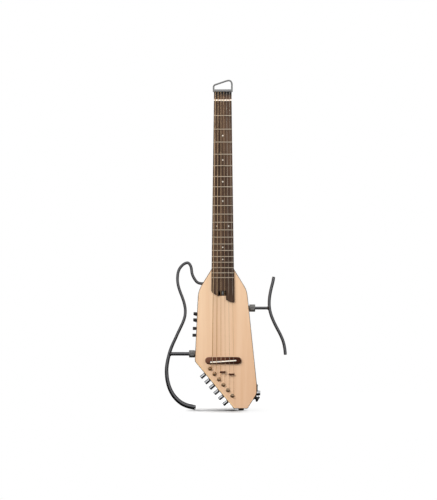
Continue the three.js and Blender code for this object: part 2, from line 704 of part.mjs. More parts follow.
// One tuner: a housing screwed to the ledge, a post that the string winds on, and a key with its worm
function addTuner(index) {
  const frame = new THREE.Group();
  frame.position.set(posts[index].x, 0, posts[index].z);
  frame.rotation.y = rowTurn;
  guitar.add(frame);
  const seatY = ledgeY + slack;
  const endY = seatY + housing.depth;
  const centreZ = -wormOffset / 2;
  const boxZ = around(centreZ, centreZ, housing.along / 2);
  const box = block([-housing.outward, housing.inward], [seatY, endY], boxZ);
  const sleeve = rod("y", bushing.radius, [faceY - slack - bushing.flange / 2, seatY + overrun], {});
  const flange = rod("y", bushing.flangeRadius, [flangeY, faceY - slack], {});
  const gearY = around(wormY, wormY, gear.width / 2);
  const postBore = bore("y", post.radius + slack, [flangeY - overrun, gearY[0] - slack], {});
  const room = bore("y", gear.radius + slack, [gearY[0] - 2 * slack, endY - housing.wall], {});
  const wormSpan = [-housing.outward - overrun, housing.inward - housing.wall];
  const wormBore = bore("x", worm.radius + slack, wormSpan, { y: wormY, z: -wormOffset });
  const number = index + 1;
  const shell = cut(joined(box, sleeve, flange), postBore, room, wormBore);
  piece(`tuner_housing_${number}`, shell, "nickel", frame);

  const topY = faceY - post.rise;
  const profile = [
    [0, topY],
    [post.radius - post.edge, topY],
    [post.radius, topY + post.edge],
    [post.radius, topY + post.cap],
    [post.waist, topY + post.cap + post.edge],
    [post.waist, flangeY + 2 * slack],
    [post.radius, flangeY + 3 * slack],
    [post.radius, gearY[0] - 2 * slack],
    [post.spindle, gearY[0] - 2 * slack],
    [post.spindle, endY - housing.wall - slack],
    [0, endY - housing.wall - slack],
  ];
  const toothPoints = Array.from({ length: 2 * gear.teeth }, (_, step) => {
    const radius = gear.radius - (step % 2 ? gear.tooth : 0);
    const angle = (Math.PI * step) / gear.teeth;
    return [radius * Math.cos(angle), radius * Math.sin(angle)];
  });
  const wheel = plate(polygon(toothPoints), gearY);
  piece(`tuner_post_${number}`, joined(turned(profile), wheel), "bronze", frame);

  const keyStart = tuner.inset + key.gap;
  const keyEnd = keyStart + key.length;
  const half = (worm.turns * worm.thread) / 2;
  const threads = [];
  for (let turn = 0; turn < worm.turns; turn++) {
    const start = turn * worm.thread - half;
    threads.push([worm.root, start], [worm.radius, start + worm.thread / 2]);
  }
  const keyProfile = [
    [0, -half - slack],
    [worm.shaft, -half - slack],
    ...threads,
    [worm.root, half],
    [worm.shaft, half + slack],
    [worm.shaft, keyStart],
    [key.radius - key.chamfer, keyStart],
    [key.radius, keyStart + key.chamfer],
    [key.radius, keyEnd - key.chamfer],
    [key.radius - key.chamfer, keyEnd],
    [0, keyEnd],
  ];
  const turnedKey = turned(keyProfile).rotateZ(Math.PI / 2).translate(0, wormY, -wormOffset);
  piece(`tuner_key_${number}`, turnedKey, "chrome", frame);
}

// A string from its ball end over the nut and the saddle, under its retainer, and wound on its post
function addString(index) {
  const radius = gauges[index] / 2;
  const held = retainers.find(({ pair }) => pair.includes(index));
  const startY = windingStart(index);
  const stringY = nutStringY + strings.anchorDrop;
  const x = nutStringX(index);
  const ballTop = anchorTop - slack;
  const ballBottom = ballTop - anchor.ballHeight;
  const points = [
    [x, stringY, ballTop],
    [x, stringY, ballBottom],
    [x, stringY, ballBottom - slack],
    [x, stringY, anchorZ - slack],
    [x, nutStringY - radius, nutTop - nut.thickness / 2],
    [saddleStringX(index), saddleStringY - radius, saddleStringZ(index)],
  ].map((place) => new THREE.Vector3(...place));
  const coilRadius = post.waist + slack + radius;
  const centre = posts[index];
  let angle = 0;
  const onCoil = (turn, y) =>
    new THREE.Vector3(centre.x + coilRadius * Math.cos(turn), y, centre.z + coilRadius * Math.sin(turn));
  for (let round = 0; round < strings.fittingRounds; round++) {
    const path = onCoil(angle, startY).sub(points.at(-1));
    angle = Math.atan2(path.x, -path.z);
  }
  if (held) {
    const z = retainerPlace(held).z + retainer.width / 2 + slack;
    const end = onCoil(angle, startY);
    const from = points.at(-1);
    const share = (from.z - z) / (from.z - end.z);
    points.push(new THREE.Vector3(mix(from.x, end.x, share), startY, z));
  }
  const straight = points.length;
  const pitch = gauges[index] + winding.gap;
  for (let step = 0; step <= winding.turns * winding.steps; step++) {
    const turn = angle - (2 * Math.PI * step) / winding.steps;
    points.push(onCoil(turn, startY + (pitch * step) / winding.steps));
  }
  const radii = points.map((_, step) => (step < 2 ? anchor.ballRadius : radius));
  const coil = points.slice(straight);
  const gaps = coil.flatMap((point, step) =>
    coil.slice(step + winding.steps / 2).map((other) => point.distanceTo(other) - 2 * radius));
  console.log(`string_${index + 1}: least gap of its winding to itself ${Math.min(...gaps).toFixed(2)} mm`);
  const look = index < strings.wound ? "wound" : "steel";
  piece(`string_${index + 1}`, tube(points, radii, winding.sides), look);
}

// A bar on a leg that holds two strings down on their way to the posts
function addRetainer(entry, number) {
  const { x, z } = retainerPlace(entry);
  const thickest = Math.min(...entry.pair.map((index) => windingStart(index) - gauges[index] / 2));
  const underY = thickest - slack;
  const bar = block(around(x, x, retainer.length / 2), [underY - retainer.thickness, underY],
    around(z, z, retainer.width / 2));
  const leg = rod("y", retainer.leg, [underY - retainer.thickness / 2, faceY - slack], { x, z }, fewSides);
  const screw = rod("y", retainer.screw, [underY, coreY + retainer.screwDepth], { x, z }, fewSides);
  piece(`string_retainer_${number}`, joined(bar, leg, screw), "bridge");
}

// The control knobs on the left side; the upper pair has a pointer that hangs below the knob
function addControls() {
  controls.forEach(({ z }, index) => {
    const outer = leftX(z) - control.reach;
    const inner = leftX(z) - 2 * slack;
    const profile = [
      [0, outer],
      [control.radius - control.chamfer, outer],
      [control.radius, outer + control.chamfer],
      [control.radius, inner],
      [control.shaft, inner],
      [control.shaft, cavityX[0] + slack + pot.bore - slack],
      [0, cavityX[0] + slack + pot.bore - slack],
    ];
    const knob = turned(profile).rotateZ(-Math.PI / 2).translate(0, 0, z);
    const wedge = plate(polygon([
      [inner, z - control.radius - control.pointer],
      [inner, z],
      [outer + control.chamfer, z],
      [outer + control.chamfer, z - control.radius + slack],
    ]), around(0, 0, control.flat / 2));
    piece(`control_knob_${index + 1}`, index < control.pointers ? joined(knob, wedge) : knob, "black");
  });
  const faceX = cavityX[0] + slack;
  const boardX = faceX + pot.length;
  const circuit = block([boardX, boardX + board.thickness], [-board.front, board.back],
    [controls.at(-1).z - board.overlap, controls[0].z + board.overlap]);
  const pots = controls.map(({ z }) => rod("x", pot.radius, [faceX, boardX + slack], { z }));
  const bores = controls.map(({ z }) =>
    bore("x", control.shaft + slack, [faceX - overrun, faceX + pot.bore + slack], { z }));
  piece("preamp_module", cut(joined(circuit, ...pots), ...bores), "circuit");
  piece("rear_cover", block(around(...cavityX, cover.lip), coverY, around(...cavityZ, cover.lip)), "black");
}

function addBattery() {
  const halfX = battery.width / 2;
  const halfZ = battery.length / 2;
  const y = [bayY[0] + slack, bayY[0] + slack + battery.thickness];
  piece("battery", block(around(batteryX, batteryX, halfX), y, around(batteryZ, batteryZ, halfZ)), "cell");
  piece("battery_cover", block(around(...bayX, cover.lip), coverY, around(...bayZ, cover.lip)), "black");
}

// A collar nut over the socket's sleeve, bored for the strut at its outer end
function addCollar(name, sign, sideAt, strutRadius, z) {
  const span = (near, far) => [sideAt + sign * near, sideAt + sign * far].sort((a, b) => a - b);
  const ring = rod("x", collar.radius, span(slack, collar.length), { z }, manySides);
  const throat = bore("x", strutRadius + slack, span(-overrun, collar.length + overrun), { z }, someSides);
  const chamberX = span(-overrun, socket.reach + slack);
  const chamber = bore("x", socketRadius(strutRadius) + slack, chamberX, { z }, someSides);
  piece(name, cut(ring, throat, chamber), "satin");
}

function addSocket(name, span, strutRadius, z) {
  const sleeve = rod("x", socketRadius(strutRadius), span, { z });
  const hollow = bore("x", strutRadius + slack, around(...span, overrun), { z }, someSides);
  piece(name, cut(sleeve, hollow), "dark");
}

// A cap whose stem sits in the tube's end, on a tube that ends at the place and points along the way
function capOn(name, place, way, radius) {
  const profile = [
    [0, -endCap.stemLength],
    [endCap.stem, -endCap.stemLength],
    [endCap.stem, slack],
    [radius, slack],
    [radius, slack + endCap.thickness - endCap.rounding],
    [radius - endCap.rounding, slack + endCap.thickness],
    [0, slack + endCap.thickness],
  ];
  const mesh = piece(name, turned(profile), "black");
  mesh.quaternion.setFromUnitVectors(new THREE.Vector3(0, 1, 0), way);
  mesh.position.copy(place);
}

function capBore(place, way) {
  const cutter = bore("y", endCap.stem + slack, [-endCap.stemLength - slack, overrun], {});
  cutter.applyQuaternion(new THREE.Quaternion().setFromUnitVectors(new THREE.Vector3(0, 1, 0), way));
  return cutter.translate(place.x, place.y, place.z);
}

function sampled(places, radii, steps) {
  const curve = new THREE.CatmullRomCurve3(places, false, "centripetal");
  const points = curve.getPoints(steps);
  const sizes = points.map((_, step) => {
    const along = (step / steps) * (radii.length - 1);
    const low = Math.min(Math.floor(along), radii.length - 2);
    return mix(radii[low], radii[low + 1], along - low);
  });
  return { points, sizes };
}

// The point of a tube's line that lies nearest to a height
function pointAt(points, z) {
  const away = (point) => Math.abs(point.z - z);
  return points.reduce((best, point) => (away(point) < away(best) ? point : best));
}

const wayOut = (points) => points.at(-1).clone().sub(points.at(-2)).normalize();

function addLeftFrame() {
  const places = leftFrameShares.map(([across, up]) => new THREE.Vector3(
    -leftFrame.nearX - across * leftFrame.width, 0, leftLowest + up * leftFrame.height));
  const radii = leftFrameShares.map(([, , round]) => round * leftFrame.radius);
  const { points, sizes } = sampled(places, radii, leftTube.steps);
  points.unshift(new THREE.Vector3(plugEnd, 0, upperPlugZ));
  sizes.unshift(plugRadius);
  const strutX = [pointAt(points, leftStrutZ).x, leftSocketX[1] - slack];
  const strutBar = rod("x", strut.leftRadius, strutX, { z: leftStrutZ });
  const end = points.at(-1);
  const way = wayOut(points);
  piece("left_frame", cut(joined(tube(points, sizes, leftTube.sides), strutBar), capBore(end, way)), "tube");
  capOn("left_end_cap", end, way, sizes.at(-1));
  addCollar("left_collar", -1, leftSeatX, strut.leftRadius, leftStrutZ);
  addSocket("left_socket", leftSocketX, strut.leftRadius, leftStrutZ);
  const sleeve = rod("x", plugRadius + slack + plugSleeve.wall, sleeveX, { z: upperPlugZ });
  const plugHole = bore("x", plugRadius + slack, around(...sleeveX, overrun), { z: upperPlugZ }, someSides);
  piece("upper_socket", cut(sleeve, plugHole), "dark");
}

function addRightFrame() {
  const lowest = rightStrutZ - rightFrame.belowStrut;
  const places = rightFrameShares.map(([across, up]) => new THREE.Vector3(
    rightFrame.nearX + across * rightFrame.width, 0, lowest + up * rightFrame.height));
  const radii = rightFrameShares.map(() => rightFrame.radius);
  const { points, sizes } = sampled(places, radii, rightTube.steps);
  const strutX = [rightSocketX[0] + slack, pointAt(points, rightStrutZ).x];
  const strutBar = rod("x", strut.rightRadius, strutX, { z: rightStrutZ });
  const upper = points[0];
  const upperWay = wayOut([points[1], upper]);
  const lower = points.at(-1);
  const lowerWay = wayOut(points);
  const frame = cut(joined(tube(points, sizes, rightTube.sides), strutBar), capBore(upper, upperWay),
    capBore(lower, lowerWay));
  piece("right_frame", frame, "tube");
  capOn("right_upper_cap", upper, upperWay, rightFrame.radius);
  capOn("right_lower_cap", lower, lowerWay, rightFrame.radius);
  addCollar("right_collar", 1, rightSeatX, strut.rightRadius, rightStrutZ);
  addSocket("right_socket", rightSocketX, strut.rightRadius, rightStrutZ);
}

// The foot under the body, the strap button on the lower right facet, and the output jack above it
function addFittings() {
  const footProfile = [
    [0, 0],
    [foot.radius - foot.lip, 0],
    [foot.radius, foot.lip],
    [foot.radius, foot.height - slack],
    [foot.shank, foot.height - slack],
    [foot.shank, foot.height + foot.shankLength],
    [0, foot.height + foot.shankLength],
  ];
  const footShape = turned(footProfile, manySides).rotateX(Math.PI / 2);
  piece("end_foot", footShape.translate(footX, 0, 0), "rubber");

  const button = strapButton;
  const flangeTop = slack + button.flange;
  const headStart = flangeTop + button.waistLength;
  const headEnd = headStart + button.head;
  const buttonProfile = [
    [0, -button.screwLength],
    [button.screw, -button.screwLength],
    [button.screw, slack],
    [button.flangeRadius, slack],
    [button.flangeRadius, flangeTop],
    [button.waist, flangeTop + button.edge],
    [button.waist, headStart - button.edge],
    [button.headRadius, headStart],
    [button.headRadius, headEnd - button.edge],
    [button.headRadius - button.edge, headEnd],
    [0, headEnd],
  ];
  piece("strap_button", onFacet(turned(buttonProfile, manySides)), "black");

  const mouth = jackX + jack.seat + jack.bezel;
  const barrel = rod("x", jack.barrel, [jackSideX - jack.length, jackX + overrun], jackAt);
  const bezel = rod("x", jack.bezelRadius, [jackX, mouth], jackAt, manySides);
  const plugHole = bore("x", jack.bore, [mouth - jack.boreLength, mouth + overrun], jackAt, someSides);
  piece("output_jack", cut(joined(barrel, bezel), plugHole), "chrome");
  const plateTop = jackAt.z + jackPlate.length;
  const plateX = rightX(plateTop) + slack;
  const plateSpan = [plateX, plateX + jackPlate.thickness];
  const plateY = around(jack.back, jack.back, jackPlate.width / 2);
  const strip = block(plateSpan, plateY, [jackAt.z, plateTop]);
  const hollowRadius = jack.bezelRadius + jackPlate.gap;
  const hollow = bore("x", hollowRadius, around(...plateSpan, overrun), jackAt, manySides);
  piece("jack_plate", cut(strip, hollow), "dark");
}

addBody();
addNeck();
addFingerboard();
addHead();
addBridge();
for (let index = 0; index < gauges.length; index++) {
  addTuner(index);
  addString(index);
}
retainers.forEach((entry, index) => addRetainer(entry, index + 1));
addControls();
addBattery();
addLeftFrame();
addRightFrame();
addFittings();
guitar.position.x = -footX;

export default guitar;
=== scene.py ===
import math

import bmesh
import bpy
from mathutils import Matrix, Vector
from mathutils import geometry as planar


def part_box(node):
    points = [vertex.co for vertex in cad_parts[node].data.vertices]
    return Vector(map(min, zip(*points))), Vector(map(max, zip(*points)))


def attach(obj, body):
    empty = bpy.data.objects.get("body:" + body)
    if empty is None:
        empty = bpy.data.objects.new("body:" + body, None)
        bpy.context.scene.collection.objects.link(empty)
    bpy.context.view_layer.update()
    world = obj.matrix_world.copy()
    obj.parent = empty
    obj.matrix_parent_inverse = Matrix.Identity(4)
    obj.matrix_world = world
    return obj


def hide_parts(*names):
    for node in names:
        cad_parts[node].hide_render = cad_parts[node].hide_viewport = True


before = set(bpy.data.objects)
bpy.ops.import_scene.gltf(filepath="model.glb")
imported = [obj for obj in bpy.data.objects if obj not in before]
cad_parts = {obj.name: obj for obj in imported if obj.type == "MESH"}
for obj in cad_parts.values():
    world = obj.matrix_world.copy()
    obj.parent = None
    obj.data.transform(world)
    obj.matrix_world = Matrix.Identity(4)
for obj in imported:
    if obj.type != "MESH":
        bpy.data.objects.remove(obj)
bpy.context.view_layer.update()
print("frame loaded")

# Pieces are made in millimetres with x measured from the neck's centre line, then moved into the frame
footShift = 46.600863
toWorld = Matrix.Translation((-footShift / 1000, 0, 0)) @ Matrix.Scale(0.001, 4)
seatGap = 0.3
upward, downward, toBack, toFront = (0, 0, 1), (0, 0, -1), (0, 1, 0), (0, -1, 0)
toRight, toLeft = (1, 0, 0), (-1, 0, 0)


# Finishes: wood and surface make a material each, from groups that all of them share

def tone(red, green, blue):
    # screen levels from 0 to 255, as a shader's socket wants them
    levels = [value / 255 for value in (red, green, blue)]
    return [v / 12.92 if v < 0.0405 else ((v + 0.055) / 1.055) ** 2.4 for v in levels] + [1]


def put(tree, kind, sockets=None, **settings):
    made = tree.nodes.new("ShaderNode" + kind)
    for name, value in settings.items():
        setattr(made, name, value)
    for name, value in (sockets or {}).items():
        if isinstance(value, bpy.types.NodeSocket):
            tree.links.new(value, made.inputs[name])
        else:
            made.inputs[name].default_value = value
    return made


def calc(tree, operation, first, second=0.0):
    return put(tree, "Math", {0: first, 1: second}, operation=operation).outputs[0]


def blended(tree, share, first, second, mode="MIX"):
    sockets = {0: share, 6: first, 7: second}
    return put(tree, "Mix", sockets, data_type="RGBA", blend_type=mode).outputs[2]


def ranged(tree, value, low, high, toLow=0.0, toHigh=1.0):
    sockets = {"Value": value, "From Min": low, "From Max": high, "To Min": toLow, "To Max": toHigh}
    return put(tree, "MapRange", sockets).outputs[0]


def seenStraight(tree):
    # 1 for what the camera sees itself, in a mirror or through glass
    rays = put(tree, "LightPath").outputs
    bounced = calc(tree, "MAXIMUM", rays["Is Glossy Ray"], rays["Is Transmission Ray"])
    return calc(tree, "MAXIMUM", rays["Is Camera Ray"], bounced)


def newGroup(name, inputs, outputs):
    tree = bpy.data.node_groups.new(name, "ShaderNodeTree")
    for label, kind, value in inputs:
        socket = tree.interface.new_socket(name=label, in_out="INPUT", socket_type="NodeSocket" + kind)
        if value is not None:
            socket.default_value = value
    for label, kind in outputs:
        tree.interface.new_socket(name=label, in_out="OUTPUT", socket_type="NodeSocket" + kind)
    return tree, tree.nodes.new("NodeGroupInput").outputs, tree.nodes.new("NodeGroupOutput").inputs


def makeWoodGrain():
    # growth rings across x, fibres and pores along z
    tree, given, result = newGroup(
        "woodGrain",
        [("Vector", "Vector", None), ("Light", "Color", None), ("Dark", "Color", None),
         ("Rings", "Float", 200.0), ("Ring Depth", "Float", 0.3), ("Wander", "Float", 0.01),
         ("Streaks", "Float", 0.4), ("Pores", "Float", 0.0)],
        [("Color", "Color"), ("Height", "Float"), ("Gloss", "Float")])
    link = tree.links.new
    slow = put(tree, "Mapping", {"Vector": given["Vector"], "Scale": (1, 1, 0.05)}).outputs[0]
    drift = put(tree, "TexNoise", {"Vector": slow, "Scale": 14.0, "Detail": 2.0}).outputs[0]
    push = calc(tree, "MULTIPLY", calc(tree, "SUBTRACT", drift, 0.5), given["Wander"])
    shift = put(tree, "CombineXYZ", {0: push, 1: push}).outputs[0]
    moved = put(tree, "VectorMath", {0: slow, 1: shift}, operation="ADD").outputs[0]
    rings = put(tree, "TexWave", {"Vector": moved, "Scale": given["Rings"], "Distortion": 1.5,
                                  "Detail": 2.0, "Detail Scale": 0.6}).outputs[1]
    rings = calc(tree, "MULTIPLY", calc(tree, "POWER", rings, 2.0), given["Ring Depth"])
    wide = put(tree, "TexNoise", {"Vector": slow, "Scale": 75.0, "Detail": 3.0}).outputs[0]
    wide = calc(tree, "MULTIPLY", ranged(tree, wide, 0.35, 0.68), given["Streaks"])
    fine = put(tree, "Mapping", {"Vector": given["Vector"], "Scale": (1, 1, 0.02)}).outputs[0]
    fibre = put(tree, "TexNoise", {"Vector": fine, "Scale": 1700.0, "Detail": 2.0}).outputs[0]
    share = calc(tree, "ADD", rings, wide)
    share = calc(tree, "ADD", share, calc(tree, "MULTIPLY", calc(tree, "SUBTRACT", fibre, 0.5), 0.35))
    share = put(tree, "Clamp", {"Value": share}).outputs[0]
    colour = blended(tree, share, given["Light"], given["Dark"])
    short = put(tree, "Mapping", {"Vector": given["Vector"], "Scale": (1, 1, 0.045)}).outputs[0]
    pore = put(tree, "TexNoise", {"Vector": short, "Scale": 900.0, "Detail": 1.0}).outputs[0]
    pore = calc(tree, "MULTIPLY", ranged(tree, pore, 0.6, 0.68), given["Pores"])
    link(blended(tree, pore, colour, tone(28, 14, 9)), result["Color"])
    height = calc(tree, "SUBTRACT", calc(tree, "MULTIPLY", fibre, 0.5), pore)
    link(calc(tree, "SUBTRACT", height, rings), result["Height"])
    link(ranged(tree, wide, 0.0, 1.0, -0.04, 0.1), result["Gloss"])
    return tree


def makeHandling():
    # how touch and time change a surface: rubbed edges, smudges, and dust on what faces up
    tree, given, result = newGroup(
        "handling", [("Vector", "Vector", None), ("Scale", "Float", 30.0), ("Wear", "Float", 0.4)],
        [("Rubbed", "Float"), ("Smudge", "Float"), ("Dust", "Float")])
    link = tree.links.new
    cloud = put(tree, "TexNoise", {"Vector": given["Vector"], "Scale": given["Scale"],
                                   "Detail": 4.0, "Roughness": 0.6}).outputs[0]
    chips = put(tree, "TexNoise", {"Vector": given["Vector"], "Scale": 420.0, "Detail": 3.0}).outputs[0]
    surface = put(tree, "NewGeometry").outputs
    edge = ranged(tree, surface["Pointiness"], 0.52, 0.6)
    edge = calc(tree, "MULTIPLY", edge, ranged(tree, chips, 0.38, 0.62))
    link(calc(tree, "MULTIPLY", edge, given["Wear"]), result["Rubbed"])
    link(ranged(tree, cloud, 0.3, 0.7, -1.0, 1.0), result["Smudge"])
    up = put(tree, "SeparateXYZ", {0: surface["Normal"]}).outputs[2]
    up = calc(tree, "MULTIPLY", ranged(tree, up, 0.35, 1.0), ranged(tree, cloud, 0.35, 0.75))
    link(up, result["Dust"])
    return tree


woodGrain = makeWoodGrain()
handling = makeHandling()


def startFinish(name, metallic=0.0, specular=0.5, tint=None, coat=None, glow=None):
    # tint colours what a metal mirrors at its rim, coat is a varnish's weight and roughness, and glow is how
    # much light sinks in and how far
    constants = {"Metallic": metallic, "Specular IOR Level": specular}
    if tint:
        constants["Specular Tint"] = tone(*tint)
    if coat:
        constants["Coat Weight"], constants["Coat Roughness"] = coat
    if glow:
        constants["Subsurface Weight"], constants["Subsurface Radius"] = glow
    material = bpy.data.materials.new(name)
    material.use_nodes = True
    tree = material.node_tree
    shader = tree.nodes["Principled BSDF"]
    for label, value in constants.items():
        shader.inputs[label].default_value = value
    place = put(tree, "TexCoord").outputs["Object"]
    return material, tree, shader.inputs, place


def wood(name, light, dark, rings, depth, wander, streaks, pores, roughness, relief, turn=(0, 0, 0),
         paintedShade=None, **shine):
    material, tree, sockets, place = startFinish(name, **shine)
    along = put(tree, "Mapping", {"Vector": place, "Rotation": turn}).outputs[0]
    grain = put(tree, "Group", {"Vector": along, "Light": tone(*light), "Dark": tone(*dark), "Rings": rings,
                                "Ring Depth": depth, "Wander": wander, "Streaks": streaks, "Pores": pores},
                node_tree=woodGrain)
    colour = grain.outputs["Color"]
    if paintedShade:
        # painted shade: the colour darkens along one direction across the surface, toward the lower right on
        # the top and the bridge as if lit from the upper left, and toward the top of the head overlay as the
        # anchor bar's shadow
        steps = put(tree, "SeparateXYZ", {0: place}).outputs
        slope = calc(tree, "SUBTRACT", calc(tree, "MULTIPLY", steps[0], paintedShade["across"]),
                     calc(tree, "MULTIPLY", steps[2], paintedShade["up"]))
        slope = ranged(tree, slope, paintedShade["from"], paintedShade["to"])
        colour = blended(tree, slope, colour, tone(*paintedShade["tint"]), "MULTIPLY")
    tree.links.new(colour, sockets["Base Color"])
    gloss = calc(tree, "ADD", grain.outputs["Gloss"], roughness)
    tree.links.new(gloss, sockets["Roughness"])
    bump = put(tree, "Bump", {"Strength": relief, "Distance": 0.0003, "Height": grain.outputs["Height"]})
    tree.links.new(bump.outputs[0], sockets["Normal"])
    return material


def surface(name, colour, rubbed, roughness, speckle=900.0, relief=0.05, wear=0.4, stretch=(1, 1, 1),
            dust=0.03, variety=0.06, **shine):
    material, tree, sockets, place = startFinish(name, **shine)
    touch = put(tree, "Group", {"Vector": place, "Wear": wear}, node_tree=handling)
    fine = put(tree, "Mapping", {"Vector": place, "Scale": stretch}).outputs[0]
    speck = put(tree, "TexNoise", {"Vector": fine, "Scale": speckle, "Detail": 2.0}).outputs[0]
    lift = ranged(tree, speck, 0.3, 0.7, 1 - 2 * variety, 1 + 2 * variety)
    grey = put(tree, "CombineColor", {0: lift, 1: lift, 2: lift}).outputs[0]
    base = blended(tree, 1.0, tone(*colour), grey, "MULTIPLY")
    base = blended(tree, touch.outputs["Rubbed"], base, tone(*rubbed))
    dusty = calc(tree, "MULTIPLY", touch.outputs["Dust"], dust)
    base = blended(tree, dusty, base, tone(190, 184, 174))
    tree.links.new(base, sockets["Base Color"])
    change = calc(tree, "MULTIPLY", touch.outputs["Smudge"], 0.16 * roughness)
    rough = calc(tree, "ADD", change, calc(tree, "MULTIPLY", speck, 0.1 * roughness))
    tree.links.new(calc(tree, "ADD", rough, 0.95 * roughness), sockets["Roughness"])
    bump = put(tree, "Bump", {"Strength": relief, "Distance": 0.0002, "Height": speck})
    tree.links.new(bump.outputs[0], sockets["Normal"])
    return material


# the spruce top with painted shade: lighter at its upper left and darker toward its lower right, as the light
# falls
spruceTop = wood("spruceTop", (240, 208, 174), (226, 185, 145), 200.0, 0.22, 0.01, 0.5, 0.0, 0.42, 0.12,
                 paintedShade={"across": 1.0, "up": 0.7, "from": -0.33, "to": 0.02, "tint": (240, 228, 222)},
                 coat=(0.12, 0.35))
# a dark wood for the top's rounded rim and sides: partly the darker edge wood, partly painted shade for the
# dark outline round the board
spruceEdge = wood("spruceEdge", (86, 68, 52), (56, 43, 33), 420.0, 0.5, 0.01, 0.5, 0.0, 0.5, 0.2)
spruceBand = wood("spruceBand", (236, 199, 157), (222, 179, 133), 200.0, 0.22, 0.01, 0.5, 0.0, 0.45, 0.12)
bodyWood = wood("bodyWood", (188, 140, 96), (146, 100, 64), 90.0, 0.35, 0.02, 0.7, 0.45, 0.45, 0.3,
                coat=(0.1, 0.35))
neckWood = wood("neckWood", (184, 136, 92), (140, 96, 60), 110.0, 0.3, 0.02, 0.7, 0.5, 0.42, 0.3,
                coat=(0.12, 0.3))
rosewood = wood("rosewood", (94, 71, 54), (42, 28, 21), 120.0, 0.35, 0.02, 0.8, 0.7, 0.5, 0.6, specular=0.3)
# bridge wood with painted shade: its colour darkens toward the lower right, leaving a lighter left end like a
# highlight
bridgeWood = wood("bridgeWood", (130, 86, 68), (70, 42, 30), 130.0, 0.4, 0.02, 0.7, 0.6, 0.35, 0.4,
                  turn=(0, math.radians(90), 0),
                  paintedShade={"across": 1.0, "up": 0.7, "from": -0.178, "to": -0.11, "tint": (140, 112, 86)},
                  specular=0.15)
# painted shade for the inside of the truss-rod well and the pocket behind it, which lie in shadow
paintedRecessShade = wood("paintedRecessShade", (44, 30, 22), (22, 15, 11), 150.0, 0.3, 0.02, 0.6, 0.6, 0.7, 0.3)
# head overlay with a painted shadow: its colour darkens toward the top, under the anchor bar
overlayWood = wood("overlayWood", (96, 74, 58), (52, 37, 28), 150.0, 0.3, 0.02, 0.6, 0.6, 0.6, 0.3,
                   paintedShade={"across": 0.0, "up": -1.0, "from": 0.789, "to": 0.7985, "tint": (52, 42, 36)})
# a darker wood for the fingerboard's sides and rounded edges: painted shade for the dark outline along them
rosewoodEdge = wood("rosewoodEdge", (44, 30, 22), (24, 15, 11), 120.0, 0.35, 0.02, 0.8, 0.5, 0.55, 0.4,
                    specular=0.25)
boneGlow = (0.15, (0.001, 0.0008, 0.0005))
bone = surface("bone", (250, 242, 226), (255, 252, 244), 0.3, 300.0, 0.03, variety=0.02, glow=boneGlow)
nutBone = surface("nutBone", (238, 221, 202), (248, 236, 220), 0.35, 300.0, 0.03, variety=0.02, glow=boneGlow)
pearl = surface("pearl", (228, 221, 208), (255, 255, 250), 0.22, 260.0, 0.02, variety=0.1)
satinMetal = surface("satinMetal", (132, 132, 131), (186, 186, 184), 0.3, 700.0, 0.12, stretch=(0.04, 1, 1),
                     metallic=0.85)
chrome = surface("chrome", (206, 207, 209), (226, 226, 226), 0.1, 500.0, 0.01, variety=0.01, dust=0.0,
                 metallic=1.0, tint=(50, 50, 52))
fretMetal = surface("fretMetal", (222, 208, 186), (210, 202, 186), 0.3, 800.0, 0.04, variety=0.03,
                    metallic=0.95)
# nickel and post metal are tinted warm brown: a painted reflection of the wood round them, over the metal's
# own colour
nickel = surface("nickel", (184, 166, 140), (226, 218, 204), 0.24, 800.0, 0.04, variety=0.03, metallic=1.0)
postMetal = surface("postMetal", (174, 148, 120), (222, 210, 190), 0.28, 800.0, 0.05, variety=0.04,
                    metallic=0.9)
framePaint = surface("framePaint", (100, 100, 102), (170, 170, 168), 0.2, 1500.0, 0.08, wear=0.25, dust=0.03,
                     variety=0.04, metallic=0.94, tint=(60, 60, 62))
retainerFinish = surface("retainerFinish", (66, 33, 16), (130, 88, 60), 0.34, 700.0, 0.05, specular=0.25)
screwBronze = surface("screwBronze", (112, 74, 50), (160, 130, 100), 0.4, 700.0, 0.05, metallic=0.5)
darkMetal = surface("darkMetal", (60, 60, 62), (130, 130, 128), 0.4, 900.0, 0.1, metallic=0.7)
collarMetal = surface("collarMetal", (140, 139, 137), (150, 148, 145), 0.34, 900.0, 0.1, wear=0.4,
                      metallic=0.9, tint=(70, 70, 70))
blackPlastic = surface("blackPlastic", (30, 30, 31), (70, 70, 70), 0.42, 1600.0, 0.2, dust=0.08)
rubber = surface("rubber", (44, 38, 30), (70, 62, 52), 0.75, 1100.0, 0.4, dust=0.12, variety=0.1)
plainSteel = surface("plainSteel", (226, 216, 198), (236, 232, 224), 0.28, 900.0, 0.02, variety=0.02,
                     metallic=0.5)
ballBrass = surface("ballBrass", (196, 160, 96), (226, 200, 140), 0.28, 900.0, 0.04, metallic=1.0)
circuitGreen = surface("circuitGreen", (40, 92, 58), (120, 110, 70), 0.4, 160.0, 0.2, variety=0.3)
cellSkin = surface("cellSkin", (38, 39, 44), (110, 110, 110), 0.32, 400.0, 0.05)
cellMetal = surface("cellMetal", (176, 152, 100), (206, 190, 150), 0.3, 500.0, 0.05, metallic=0.9)
whiteMark = surface("whiteMark", (226, 226, 222), (240, 240, 236), 0.5, 500.0, 0.05, variety=0.03)

# the wrap pitch, the heights below which painted shade darkens the strings, the bridge's height, and how far
# from it they stay clear
stringLook = {"wrapPerTurn": 0.34, "paintedDarkening": (0.3, 0.288), "bridge": 0.128, "clear": (0.009, 0.014)}


